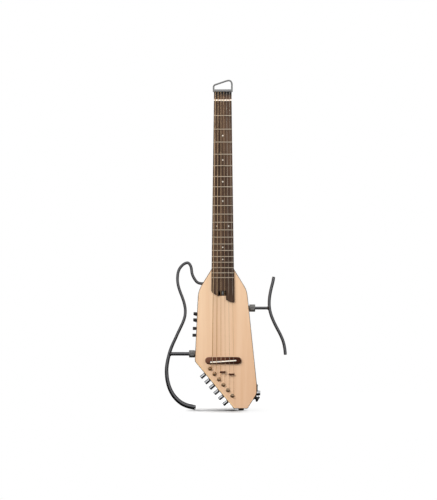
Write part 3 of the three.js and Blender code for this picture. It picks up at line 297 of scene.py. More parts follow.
def stringFinish(name, core, bright, shadeTint, metallic):
    # fine rounds that follow the length, kept in the attribute "along" in millimetres, and painted shade that
    # darkens the string over the soundboard and round the posts, leaving the bridge clear
    look = stringLook
    material, tree, sockets, place = startFinish(name, metallic)
    along = put(tree, "Attribute", {}, attribute_name="along").outputs["Fac"]
    wave = calc(tree, "SINE", calc(tree, "MULTIPLY", along, 2 * math.pi / look["wrapPerTurn"]))
    cloud = put(tree, "TexNoise", {"Vector": place, "Scale": 60.0, "Detail": 3.0}).outputs[0]
    # the colour alternates with each wrap between a darker and a brighter tone: painted shade in the grooves
    # and a painted highlight on the crests
    colour = blended(tree, ranged(tree, wave, -1.0, 1.0), tone(*core), tone(*bright))
    height = put(tree, "SeparateXYZ", {0: place}).outputs[2]
    fromBridge = calc(tree, "ABSOLUTE", calc(tree, "SUBTRACT", height, look["bridge"]))
    paintedDarkening = calc(tree, "MULTIPLY", ranged(tree, height, *look["paintedDarkening"]),
                   ranged(tree, fromBridge, *look["clear"]))
    tree.links.new(blended(tree, paintedDarkening, colour, tone(*shadeTint), "MULTIPLY"), sockets["Base Color"])
    tree.links.new(ranged(tree, cloud, 0.3, 0.7, 0.26, 0.42), sockets["Roughness"])
    bump = put(tree, "Bump", {"Strength": 0.6, "Distance": 0.0001, "Height": wave})
    tree.links.new(bump.outputs[0], sockets["Normal"])
    return material


# each string's finish: its two wrap tones, the painted shade colour over the soundboard, and its metallic
# share
woundWrap = stringFinish("woundWrap", (196, 158, 118), (242, 212, 174), (204, 164, 104), 0.45)
plainWire = stringFinish("plainWire", (222, 212, 194), (228, 218, 202), (112, 80, 42), 0.5)
print("finishes ready")


# Shaping helpers

def finishPiece(name, bm, slotName, finishes, *replaced, body="instrument", sharp=35, weighted=False):
    bmesh.ops.remove_doubles(bm, verts=bm.verts[:], dist=0.002)
    bmesh.ops.recalc_face_normals(bm, faces=bm.faces[:])
    bm.transform(toWorld)
    mesh = bpy.data.meshes.new(name)
    bm.to_mesh(mesh)
    bm.free()
    for finish in finishes:
        mesh.materials.append(finish)
    mesh.shade_smooth()
    mesh.set_sharp_from_angle(angle=math.radians(sharp))
    piece = bpy.data.objects.new(name, mesh)
    bpy.context.scene.collection.objects.link(piece)
    if weighted:
        piece.modifiers.new("flat faces stay flat", "WEIGHTED_NORMAL").keep_sharp = True
    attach(piece, body)
    if replaced:
        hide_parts(*replaced)
    return piece


def together(first, *others):
    for other in others:
        spare = bpy.data.meshes.new("spare")
        other.to_mesh(spare)
        other.free()
        first.from_mesh(spare)
        bpy.data.meshes.remove(spare)
    return first


def inFinish(bm, index):
    for face in bm.faces:
        face.material_index = index
    return bm


def turned(profile, sides=32):
    # profile: (radius, along) from one end to the other, spun round the z axis
    bm = bmesh.new()
    verts = [bm.verts.new((radius, 0, along)) for radius, along in profile]
    edges = [bm.edges.new(pair) for pair in zip(verts, verts[1:])]
    bmesh.ops.spin(bm, geom=verts + edges, cent=(0, 0, 0), axis=(0, 0, 1), angle=2 * math.pi,
                   steps=sides, use_merge=True)
    bmesh.ops.remove_doubles(bm, verts=bm.verts[:], dist=0.001)
    bmesh.ops.recalc_face_normals(bm, faces=bm.faces[:])
    return bm


def aimed(bm, place, way=upward):
    bm.transform(Matrix.Translation(place) @ Vector(way).to_track_quat("Z", "Y").to_matrix().to_4x4())
    return bm


def lathe(profile, sides, place, way=upward):
    return aimed(turned(profile, sides), place, way)


def barProfile(radius, low, high):
    return [(0, low), (radius, low), (radius, high), (0, high)]


def ribbed(bm, above, depth, sides, low=-1e9, high=1e9):
    # every other column of a turned piece is drawn in
    for vert in bm.verts:
        radius = math.hypot(vert.co.x, vert.co.y)
        column = round(math.atan2(vert.co.y, vert.co.x) / (2 * math.pi) * sides)
        if radius > above and low < vert.co.z < high and column % 2:
            vert.co.x *= (radius - depth) / radius
            vert.co.y *= (radius - depth) / radius
    return bm


def boxBetween(low, high, rounding=0.0, segments=3):
    bm = bmesh.new()
    bmesh.ops.create_cube(bm, size=1)
    size = Vector(high) - Vector(low)
    bm.transform(Matrix.Translation((Vector(low) + Vector(high)) / 2) @ Matrix.Diagonal((*size, 1)))
    if rounding:
        bmesh.ops.bevel(bm, geom=bm.edges[:], offset=rounding, segments=segments, profile=0.5,
                        affect="EDGES", material=-1)
    return bm


def plate(outline, back, front):
    # an outline across x and z, thick from back to front along y
    bm = bmesh.new()
    face = bm.faces.new([bm.verts.new((x, back, z)) for x, z in outline])
    grown = bmesh.ops.extrude_face_region(bm, geom=[face])["geom"]
    moved = [g for g in grown if isinstance(g, bmesh.types.BMVert)]
    bmesh.ops.translate(bm, vec=(0, front - back, 0), verts=moved)
    bmesh.ops.recalc_face_normals(bm, faces=bm.faces[:])
    return bm


def softenedEdges(bm, chosen, offset, segments=3, clamp=True):
    bmesh.ops.bevel(bm, geom=chosen, offset=offset, segments=segments, profile=0.5, affect="EDGES",
                    material=-1, clamp_overlap=clamp)
    return bm


def frontEdges(bm, level):
    return [e for e in bm.edges if all(abs(v.co.y - level) < 0.01 for v in e.verts)]


def deepEdges(bm):
    # the edges that run from front to back
    return [e for e in bm.edges if abs(e.verts[0].co.y - e.verts[1].co.y) > 1]


def nodeBox(node):
    return [toWorld.inverted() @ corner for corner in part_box(node)]


def carved(bm, *cutters):
    objects = []
    for shape in (bm, *cutters):
        bmesh.ops.recalc_face_normals(shape, faces=shape.faces[:])
        mesh = bpy.data.meshes.new("spare")
        shape.to_mesh(mesh)
        shape.free()
        objects.append(bpy.data.objects.new("spare", mesh))
        bpy.context.scene.collection.objects.link(objects[-1])
    body = objects[0]
    for tool in objects[1:]:
        cut = body.modifiers.new("cut", "BOOLEAN")
        cut.operation, cut.solver, cut.object = "DIFFERENCE", "EXACT", tool
    result = bmesh.new()
    result.from_object(body, bpy.context.evaluated_depsgraph_get())
    for thing in objects:
        bpy.data.objects.remove(thing)
    return result


def socketScrew(radius, height, key):
    # a flat screw head with a hexagonal recess
    head = turned([(0, 0), (radius - 0.15, 0), (radius, 0.15), (radius, height - 0.3), (radius - 0.3, height),
                   (0, height)], 24)
    hexagon = bmesh.new()
    bmesh.ops.create_cone(hexagon, cap_ends=True, segments=6, radius1=key, radius2=key, depth=height,
                          matrix=Matrix.Translation((0, 0, height)))
    return carved(head, hexagon)


def crossScrew(radius, height, slot):
    # a domed screw head with a cross recess
    head = turned([(0, 0), (radius, 0), (radius, 0.25 * height), (0.8 * radius, 0.75 * height),
                   (0.45 * radius, height), (0, height)], 24)
    arms = [boxBetween((-0.62 * radius, -slot / 2, 0.35 * height), (0.62 * radius, slot / 2, 2 * height)),
            boxBetween((-slot / 2, -0.62 * radius, 0.35 * height), (slot / 2, 0.62 * radius, 2 * height))]
    return carved(head, *arms)


def refined(node):
    # a merged copy of a CAD node, its flat faces joined, in millimetres
    bm = bmesh.new()
    bm.from_mesh(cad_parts[node].data)
    bm.transform(toWorld.inverted())
    bmesh.ops.remove_doubles(bm, verts=bm.verts[:], dist=0.002)
    bmesh.ops.dissolve_limit(bm, angle_limit=math.radians(1), verts=bm.verts[:], edges=bm.edges[:])
    return bm


def outerRim(bm, low, high):
    # the edges round the convex outline whose ends lie between two levels of y
    spots = [v for v in bm.verts if low < v.co.y < high]
    flat = [v.co.xz for v in spots]
    hull = [flat[i] for i in planar.convex_hull_2d(flat)]
    sides = list(zip(hull, hull[1:] + hull[:1]))

    def onHull(point):
        for a, b in sides:
            foot, share = planar.intersect_point_line(point, a, b)
            if (point - foot.xy).length < 0.06 and -0.001 < share < 1.001:
                return True
        return False

    rim = {v for v in spots if onHull(v.co.xz)}
    return [e for e in bm.edges if rim.issuperset(e.verts)
            and onHull(((e.verts[0].co + e.verts[1].co) / 2).xz)]


def smoothLine(points, steps):
    # a centripetal curve through the points
    line = [Vector(p) for p in points]
    line = [2 * line[0] - line[1], *line, 2 * line[-1] - line[-2]]
    found = []
    for index in range(1, len(line) - 2):
        p = line[index - 1:index + 3]
        t = [0.0]
        for a, b in zip(p, p[1:]):
            t.append(t[-1] + max((b - a).length, 1e-6) ** 0.5)
        for step in range(steps):
            at = t[1] + (t[2] - t[1]) * step / steps
            a = [p[i].lerp(p[i + 1], (at - t[i]) / (t[i + 1] - t[i])) for i in range(3)]
            b = [a[i].lerp(a[i + 1], (at - t[i]) / (t[i + 2] - t[i])) for i in range(2)]
            found.append(b[0].lerp(b[1], (at - t[1]) / (t[2] - t[1])))
    return found + [line[-2]]


def stretched(values, steps):
    # values kept in step with smoothLine's points
    found = []
    for a, b in zip(values, values[1:]):
        found += [a + (b - a) * step / steps for step in range(steps)]
    return found + [values[-1]]


def stations(line, radii):
    # a frame at each point of a line, as wide as its radius and turned as little as the line allows
    up = Vector(toBack)
    found = []
    for index, point in enumerate(line):
        before, after = line[max(index - 1, 0)], line[min(index + 1, len(line) - 1)]
        forward = (after - before).normalized()
        up = (up - forward * up.dot(forward)).normalized()
        side = up.cross(forward)
        turn = Matrix((side * radii[index], up * radii[index], forward)).transposed().to_4x4()
        found.append(Matrix.Translation(point) @ turn)
    return found


def swept(places, sides=24, outline=None):
    # a ring, or an outline in the unit plane, drawn through a row of placed stations
    bm = bmesh.new()
    distance = bm.verts.layers.float.new("along")
    if outline:
        ring = [bm.verts.new(places[0] @ Vector((x, y, 0))) for x, y in outline]
        edges = [bm.edges.new((ring[i - 1], ring[i])) for i in range(len(ring))]
    else:
        bmesh.ops.create_circle(bm, cap_ends=False, radius=1, segments=sides, matrix=places[0])
        edges = bm.edges[:]
    first, travelled = edges, 0.0
    for here, there in zip(places, places[1:]):
        grown = bmesh.ops.extrude_edge_only(bm, edges=edges)["geom"]
        moved = [g for g in grown if isinstance(g, bmesh.types.BMVert)]
        bmesh.ops.transform(bm, matrix=there @ here.inverted(), verts=moved)
        travelled += (there.translation - here.translation).length
        for vert in moved:
            vert[distance] = travelled
        kept = set(moved)
        edges = [g for g in grown if isinstance(g, bmesh.types.BMEdge) and kept.issuperset(g.verts)]
    bmesh.ops.holes_fill(bm, edges=first + edges, sides=0)
    bmesh.ops.recalc_face_normals(bm, faces=bm.faces[:])
    return bm


# Body

bodyShape = {
    "front": -22.5, "back": 22.5, "top": 356.0,
    "leftShoulder": (-61.9075, 302.5743), "slantTop": (-70.4, 124.4527), "slantFoot": (27.8192, 5.7),
    "bandWidth": 5.0, "bandDrop": 0.25, "frontEdge": 1.3, "backEdge": 2.4,
    "wellX": (-10.2, 8.2), "wellZ": (289.7, 340.0), "pocket": {"y": -8.0, "z": 280.0},
}
slantTop, slantFoot = [Vector((x, 0, z)) for x, z in (bodyShape["slantTop"], bodyShape["slantFoot"])]
downSlant = (slantFoot - slantTop).normalized()
inSlant = Vector((-downSlant.z, 0, downSlant.x))


def overWell(point):
    low, high = bodyShape["wellX"]
    return low - 0.1 < point.x < high + 0.1


def makeSoundboard():
    # the band along the slant falls off a little, and its wood is paler
    shape = bodyShape
    bm = refined("soundboard")
    bmesh.ops.bisect_plane(bm, geom=bm.verts[:] + bm.edges[:] + bm.faces[:], dist=0.001,
                           plane_co=slantTop + inSlant * shape["bandWidth"], plane_no=inSlant)
    for vert in bm.verts:
        reach = (vert.co - slantTop).dot(inSlant)
        if vert.co.y < shape["front"] + 0.01 and reach < shape["bandWidth"]:
            vert.co.y += shape["bandDrop"] * (1 - reach / shape["bandWidth"])
    rim = outerRim(bm, shape["front"] - 0.1, shape["front"] + shape["bandDrop"] + 0.1)
    softenedEdges(bm, rim, shape["frontEdge"], 3, clamp=False)
    bm.normal_update()
    # the well's inner faces take painted shade, the band's front its own wood, and the rim and sides the dark
    # edge wood, which is partly painted shade for the outline round the board
    for face in bm.faces:
        middle = face.calc_center_median()
        reach = (middle - slantTop).dot(inSlant)
        low, high = shape["wellZ"]
        if overWell(middle) and low - 0.1 < middle.z < high and abs(face.normal.y) < 0.5:
            face.material_index = 3
        elif reach < shape["bandWidth"] and face.normal.y < -0.98:
            face.material_index = 1
        elif face.normal.y > -0.97:
            face.material_index = 2
    finishPiece("soundboardTop", bm, "spruce_top", [spruceTop, spruceBand, spruceEdge, paintedRecessShade],
                "soundboard", weighted=True)


def makeBodyCore():
    shape = bodyShape
    bm = refined("body_core")
    rim = outerRim(bm, shape["back"] - 0.1, shape["back"] + 0.1)
    softenedEdges(bm, rim, shape["backEdge"], 4, clamp=False)
    bm.normal_update()
    # the faces round the pocket behind the well take painted shade
    for face in bm.faces:
        middle = face.calc_center_median()
        if overWell(middle) and middle.y < shape["pocket"]["y"] and middle.z > shape["pocket"]["z"]:
            face.material_index = 1
    finishPiece("bodyCore", bm, "body_wood", [bodyWood, paintedRecessShade], "body_core", weighted=True)


makeSoundboard()
makeBodyCore()
print("body ready")


# Neck and fingerboard

scaleLength = 648.0
nutFoot = 779.2
neckShape = {"nutDepth": 15.0, "bodyDepth": 18.0, "heelDepth": 40.0, "heelTop": 402.0, "heelSteps": 14,
             "top": 802.6, "bareTop": 790.0, "along": [700.0, 620.0, 540.0, 460.0, 430.0],
             "tenon": ((-24.0, -18.5, 303.0), (24.0, 3.5, 356.4)), "belly": 0.7, "sides": 30,
             "channel": ((-3.3, -30.0, 290.0), (3.3, -11.5, 741.2))}
boardShape = {
    "nutWidth": 44.6, "endWidth": 58.4, "trebleEnd": 279.414, "front": -28.5, "edge": 0.9,
    "bassEnd": 302.814, "notchZ": 301.814, "notch": bodyShape["wellX"],
    "bassCurve": [(-27.4, 298.9), (-22.7, 295.6), (-16.2, 291.4), (-10.2, 288.75)],
    "trebleCurve": [(14.0, 276.6), (19.6, 274.3), (24.4, 273.5), (27.9, 274.5), (29.15, 277.8)],
    "overlayZ": (783.2, 802.6), "overlayFront": -25.5, "overlayEdge": 0.4,
}
fretShape = {"count": 20, "width": 2.0, "height": 0.9, "inset": 0.6, "steps": 8,
             "tang": [(-0.3, -0.6), (0.3, -0.6)], "ends": [(0, 0.45), (0.5, 0.85), (1.3, 1)]}
dotShape = {"radius": 1.8, "sideRadius": 1.1, "frets": (3, 5, 7, 9, 15, 17), "octave": 12,
            "apart": 14.6, "sideApart": 3.5, "sideDepth": 3.0}
nutShape = {"edge": 0.25, "corner": 1.2}


def fretZ(number):
    return nutFoot - scaleLength * (1 - 2 ** (-number / 12))


def boardHalf(z):
    share = (nutFoot - z) / (nutFoot - boardShape["trebleEnd"])
    return (boardShape["nutWidth"] + (boardShape["endWidth"] - boardShape["nutWidth"]) * share) / 2


def makeNeck():
    # a rounded shaft that swells into the heel, and the tenon, both grooved for the truss rod
    shape, heelTop, steps = neckShape, neckShape["heelTop"], neckShape["heelSteps"]
    front, bodyTop = bodyShape["front"], bodyShape["top"]
    heights = [shape["top"], shape["bareTop"], nutFoot, *shape["along"]]
    heights += [heelTop - step * (heelTop - bodyTop - seatGap) / steps for step in range(steps + 1)]
    places = []
    for z in heights:
        share = (nutFoot - z) / (nutFoot - bodyTop)
        shaft = shape["nutDepth"] + (shape["bodyDepth"] - shape["nutDepth"]) * share
        heel = max(0.0, (heelTop - z) / (heelTop - bodyTop)) ** 2
        depth = shaft + (shape["heelDepth"] - shaft) * heel
        half = max(min(boardHalf(z), boardHalf(bodyTop)), boardShape["nutWidth"] / 2)
        places.append(Matrix.Translation((0, front, z)) @ Matrix.Diagonal((half, depth, 1, 1)))
    angles = [math.pi * step / shape["sides"] for step in range(shape["sides"] + 1)]
    section = [(-math.cos(a), math.sin(a) ** shape["belly"]) for a in angles]
    solids = [swept(places, outline=section), boxBetween(*shape["tenon"])]
    bm = together(*[carved(solid, boxBetween(*shape["channel"])) for solid in solids])
    finishPiece("neckShaft", bm, "neck_wood", [neckWood], "neck")


def makeFingerboard():
    shape = boardShape
    left, right = shape["notch"]
    bass = [(-boardHalf(shape["bassEnd"]), shape["bassEnd"])] + shape["bassCurve"]
    treble = [(right, shape["trebleEnd"])] + shape["trebleCurve"]
    bass, treble = [[(p.x, p.z) for p in smoothLine([(x, 0, z) for x, z in knots], 4)]
                    for knots in (bass, treble)]
    outline = [(-boardHalf(nutFoot), nutFoot), *bass, (left, shape["notchZ"]), (right, shape["notchZ"]),
               *treble, (boardHalf(nutFoot), nutFoot)]
    bm = plate(outline, bodyShape["front"], shape["front"])
    softenedEdges(bm, frontEdges(bm, shape["front"]), shape["edge"], 2)
    # the sides and rounded front edges take the darker wood, as painted shade
    for face in bm.faces:
        face.material_index = int(face.normal.y > -0.95)
    finishPiece("fingerboardPlate", bm, "rosewood", [rosewood, rosewoodEdge], "fingerboard", weighted=True)
    half, (low, high), front = shape["nutWidth"] / 2, shape["overlayZ"], shape["overlayFront"]
    overlay = plate([(-half, low), (half, low), (half, high), (-half, high)], bodyShape["front"], front)
    softenedEdges(overlay, frontEdges(overlay, front), shape["overlayEdge"], 2)
    finishPiece("headOverlay", overlay, "rosewood", [overlayWood], weighted=True)


def makeFrets():
    shape, level = fretShape, boardShape["front"]
    # crowned wires, rounded off at both ends
    angles = [math.pi * step / shape["steps"] for step in range(shape["steps"] + 1)]
    crown = [(shape["width"] / 2 * math.cos(a), shape["height"] * math.sin(a)) for a in angles]
    crown += shape["tang"]
    turn = Matrix(((0, 0, 1), (0, -1, 0), (1, 0, 0))).to_4x4()
    rows = []
    for number in range(1, shape["count"] + 1):
        z = fretZ(number)
        half = boardHalf(z) - shape["inset"]
        bass = [(-half + step, size) for step, size in shape["ends"]]
        places = [Matrix.Translation((x, level, z)) @ turn @ Matrix.Diagonal((1, size, 1, 1))
                  for x, size in bass + [(-x, size) for x, size in reversed(bass)]]
        rows.append(swept(places, outline=crown))
    finishPiece("fretWires", together(*rows), "nickel", [fretMetal], sharp=50)


def makeDots():
    # pearl dots on the board and along its bass side, two at the octave
    shape, level = dotShape, boardShape["front"]
    radius, shift = shape["radius"], shape["sideApart"]
    disc = [(0, 0.1), (radius, 0.1), (radius, -0.04), (radius - 0.3, -0.08), (0, -0.1)]
    small = [(0, 0.1), (shape["sideRadius"], 0.1), (shape["sideRadius"], -0.05), (0, -0.08)]
    dots = []
    for number in (*shape["frets"], shape["octave"]):
        z = (fretZ(number) + fretZ(number - 1)) / 2
        double = number == shape["octave"]
        for x in ((-shape["apart"], shape["apart"]) if double else (0,)):
            dots.append(lathe(disc, 24, (x, level, z), toBack))
        for at in ((z - shift, z + shift) if double else (z,)):
            dots.append(lathe(small, 16, (-boardHalf(at) + 0.02, level + shape["sideDepth"], at), toRight))
    finishPiece("positionDots", together(*dots), "bone", [pearl])


def makeNut():
    bm = refined("nut")
    edges = [e for e in bm.edges if e.is_manifold and e.calc_face_angle(0) > nutShape["corner"]]
    softenedEdges(bm, edges, nutShape["edge"], 2)
    finishPiece("nutBlock", bm, "bone", [nutBone], "nut", weighted=True)


makeNeck()
makeFingerboard()
makeFrets()
makeDots()
makeNut()
print("neck ready")


# Head: string anchor bar and the bent rod loop

anchorShape = {"half": 25.1, "y": (-30.5, -7.5), "z": (802.9, 808.7), "edge": 0.7,
               "stringY": -28.1, "ball": (2.1, 805.5), "screwX": 12.0, "screwY": -15.0,
               "screwDepth": 2.2, "screwRoom": 2.6, "screw": (2.4, 1.8, 1.1)}
loopShape = {"radius": 2.05, "y": -19.0, "leg": 23.0, "foot": 805.3, "rise": (810.0, 812.0), "steps": 12,
             "leftBend": [(-23.0, 814.9), (-23.0, 817.97), (-21.55, 819.99), (-18.645, 820.98)],
             "rightBend": [(8.798, 830.31), (18.266, 833.53), (23.0, 830.21), (23.0, 820.34)]}
gauges = [1.42, 1.14, 0.89, 0.66, 0.43, 0.33]
nutSpread = {"width": 35.7, "shift": -1.0}


def nutX(index):
    return nutSpread["shift"] + nutSpread["width"] * (index / 5 - 0.5)


def makeAnchor():
    shape = anchorShape
    half, (front, back), (low, high) = shape["half"], shape["y"], shape["z"]
    bar = boxBetween((-half, front, low), (half, back, high), shape["edge"])
    seat, floor = shape["ball"]
    sunk = high - shape["screwDepth"]
    cutters = []
    for index, gauge in enumerate(gauges):
        at = (nutX(index), shape["stringY"], 0)
        cutters.append(lathe(barProfile(gauge / 2 + seatGap, low - 2, high), 16, at))
        cutters.append(lathe(barProfile(seat, floor, high + 2), 24, at))
    for side in (-1, 1):
        leg = barProfile(loopShape["radius"] + seatGap, loopShape["foot"] - 0.5, high + 2)
        cutters.append(lathe(leg, 24, (side * loopShape["leg"], loopShape["y"], 0)))
        cutters.append(lathe(barProfile(shape["screwRoom"], sunk, high + 2), 24,
                             (side * shape["screwX"], shape["screwY"], 0)))
    bm = carved(bar, *cutters)
    finishPiece("anchorBar", bm, "satin_metal", [satinMetal], "string_anchor", weighted=True)
    screws = [aimed(socketScrew(*shape["screw"]), (side * shape["screwX"], shape["screwY"], sunk))
              for side in (-1, 1)]
    finishPiece("anchorScrews", together(*screws), "steel", [darkMetal])


def makeLoop():
    shape = loopShape
    leg, foot, (leftRise, rightRise) = shape["leg"], shape["foot"], shape["rise"]
    line = [(-leg, foot), (-leg, leftRise)]
    for bend in ("leftBend", "rightBend"):
        knots = [Vector((x, z, 0)) for x, z in shape[bend]]
        line += [(p.x, p.y) for p in planar.interpolate_bezier(*knots, shape["steps"])]
    line += [(leg, rightRise), (leg, foot)]
    path = [Vector((x, shape["y"], z)) for x, z in line]
    bm = swept(stations(path, [shape["radius"]] * len(path)), 20)
    finishPiece("headLoopRod", bm, "satin_metal", [satinMetal], "head_loop")


makeAnchor()
makeLoop()
print("head ready")


# Bridge and saddle

bridgeShape = {"x": 1.2, "z": 127.0, "length": 90.8, "width": 17.1, "height": 8.5, "rounding": 3.6,
               "endSteps": 16, "saddleZ": 124.8, "tilt": 0.0663, "saddle": (66.5, 3.0),
               "saddleY": (-33.3, -26.8), "saddleEnd": 1.45, "saddleCrown": 0.9, "slotY": (-40, -25)}


def makeBridge():
    # a long rounded block, and the saddle in its tilted slot
    shape, steps = bridgeShape, bridgeShape["endSteps"]
    radius = shape["width"] / 2
    straight = shape["length"] / 2 - radius
    outline = []
    for side, start in ((1, -0.5), (-1, 0.5)):
        for step in range(steps + 1):
            turn = math.pi * (start + step / steps)
            outline.append((shape["x"] + side * straight + radius * math.cos(turn),
                            shape["z"] + radius * math.sin(turn)))
    front = bodyShape["front"] - shape["height"]
    bm = plate(outline, bodyShape["front"], front)
    softenedEdges(bm, frontEdges(bm, front), shape["rounding"], 6)
    length, wide = shape["saddle"]
    tilt = Matrix.Rotation(-math.atan(shape["tilt"]), 4, "Y")
    tilted = Matrix.Translation((shape["x"], 0, shape["saddleZ"])) @ tilt
    slotFront, slotFloor = shape["slotY"]
    slot = boxBetween((-length / 2 - seatGap, slotFront, -wide / 2 - seatGap),
                      (length / 2 + seatGap, slotFloor, wide / 2 + seatGap))
    slot.transform(tilted)
    finishPiece("bridgeBlock", carved(bm, slot), "bridge_wood", [bridgeWood], "bridge", weighted=True)
    top, foot = shape["saddleY"]
    saddle = boxBetween((-length / 2, top, -wide / 2), (length / 2, foot, wide / 2))
    softenedEdges(saddle, deepEdges(saddle), shape["saddleEnd"], 5)
    softenedEdges(saddle, frontEdges(saddle, top), shape["saddleCrown"], 4)
    saddle.transform(tilted)
    finishPiece("saddleBone", saddle, "bone", [bone], "saddle", weighted=True)


makeBridge()
print("bridge ready")


# Tuners: along the slanted edge, each in its own place with x inward and z up the slope

tunerShape = {
    "pitch": 17.73, "first": 38.0, "inset": 18.1, "wormZ": -4.2, "wormY": 0.8, "teeth": 30,
    "box": ((-10.0, -4.7, -9.7), (8.0, 6.3, 5.5)), "screws": ((-7.6, 3.2), (5.6, -7.4)),
    "screw": (1.7, 0.7, 0.5),
    "sleeve": (4.3, -23.9, -3.0), "wormRoom": (1.7, -7.0, 14.0),
    "rooms": ((3.25, -30.0, 2.0), (2.9, -2.0, 5.1)),
    "bushing": [(0, -24.4), (3.5, -24.4), (4.3, -24.15), (4.9, -23.7), (5.2, -23.2), (5.3, -22.8),
                (0, -22.8)],
    "post": [(0, -32.0), (0.9, -31.9), (1.7, -31.6), (2.4, -31.05), (2.85, -30.35), (3.0, -29.8),
             (2.75, -29.4), (2.4, -29.1), (2.4, -24.0), (3.0, -23.5), (3.0, -2.0), (1.5, -2.0), (1.5, 4.8),
             (0, 4.8)],
    "wheel": (2.5, -1.4, 3.0), "toothDepth": 0.45, "threads": 4, "threadPitch": 1.4,
    "barrel": [(1.05, 2.8), (1.1, 3.1), (1.1, 19.2), (1.6, 19.3), (3.9, 19.35), (4.4, 19.6), (4.58, 20.0),
               (4.6, 20.6), (4.6, 32.2), (4.52, 32.7), (4.25, 33.05), (3.8, 33.25), (3.2, 33.3), (1.8, 33.3),
               (1.7, 33.0), (0, 32.9)],
    "washer": [(1.3, 18.45), (3.2, 18.45), (3.3, 18.6), (3.3, 19.15), (1.3, 19.2), (1.3, 18.45)],
}


def tunerPlace(index):
    along = tunerShape["first"] + tunerShape["pitch"] * index
    spot = slantTop + downSlant * along + inSlant * tunerShape["inset"]
    up = -downSlant
    turn = Matrix((inSlant, (0, 1, 0), up)).transposed().to_4x4()
    return Matrix.Translation((spot.x, 0, spot.z)) @ turn


def onPost(profile, sides):
    # round the post's axis, which runs from front to back
    return lathe(profile, sides, (0, 0, 0), toBack)


def makeHousing(shape):
    # the gear box with its sleeve and bushing nut, all bored for the post and the worm
    solids = [aimed(boxBetween(*shape["box"], 1.0), (0, 0, 0)),
              onPost(barProfile(*shape["sleeve"]), 32), onPost(shape["bushing"], 40)]
    parts = []
    for solid in solids:
        worm = lathe(barProfile(*shape["wormRoom"]), 16, (0, shape["wormY"], shape["wormZ"]), toLeft)
        parts.append(carved(solid, *[onPost(barProfile(*room), 32) for room in shape["rooms"]], worm))
    back = shape["box"][1][1]
    for x, z in shape["screws"]:
        parts.append(aimed(crossScrew(*shape["screw"]), (x, back - 0.05, z), toBack))
    return together(*parts)


def makePost(shape):
    # a waisted post with a domed cap, and the toothed wheel at its foot
    wheel = turned(barProfile(*shape["wheel"]), shape["teeth"])
    ribbed(wheel, shape["wheel"][0] - 0.1, shape["toothDepth"], shape["teeth"])
    return together(onPost(shape["post"], 40), aimed(wheel, (0, 0, 0), toBack))


def makeKey(shape):
    # the worm, its shaft and the barrel knob, with a washer
    worm = [(0, -3.1), (1.1, -3.1)]
    for turn in range(shape["threads"]):
        start = turn * shape["threadPitch"]
        worm += [(1.05, start - 2.8), (1.4, start - 2.1)]
    key = together(turned(worm + shape["barrel"], 48), inFinish(turned(shape["washer"], 32), 1))
    return aimed(key, (0, shape["wormY"], shape["wormZ"]), toLeft)


def makeTuner(index):
    number, parts = index + 1, []
    for make in (makeHousing, makePost, makeKey):
        parts.append(make(tunerShape))
        parts[-1].transform(tunerPlace(index))
    housing, post, key = parts
    finishPiece(f"tunerHousing{number}", housing, "nickel", [nickel], f"tuner_housing_{number}")
    finishPiece(f"tunerPost{number}", post, "post_metal", [postMetal], f"tuner_post_{number}",
                body=f"tuner_post_{number}")
    finishPiece(f"tunerKey{number}", key, "chrome", [chrome, darkMetal], f"tuner_key_{number}",
                body=f"tuner_key_{number}", sharp=30)


for tuner in range(6):
    makeTuner(tuner)
print("tuners ready")


# Strings: ball end, run over nut and saddle, and the winding round the post

stringShape = {
    "wound": 4, "fingerSpread": 53.4, "saddleShift": 0.8, "nutY": -30.0, "saddleY": -33.6,
    "nutZ": (782.9, 779.5), "turns": 2, "gap": 0.5, "waist": 2.4, "seat": -24.7, "steps": 36,
    "held": {2: 98.1, 3: 98.1, 4: 92.3, 5: 92.3}, "holdLead": 2.8,
    "tail": {"steps": 5, "turn": 0.13, "inward": 0.35}, "twistZ": (802.7, 804.0, 805.85), "twist": 1.25,
    "ball": [(0, 805.8), (1.5, 805.8), (1.8, 806.1), (1.8, 806.6), (1.3, 806.9), (1.3, 807.3), (1.8, 807.6),
             (1.8, 808.1), (1.5, 808.4), (0, 808.4)],
}


def saddleX(index):
    return stringShape["saddleShift"] + stringShape["fingerSpread"] * (index / 5 - 0.5)


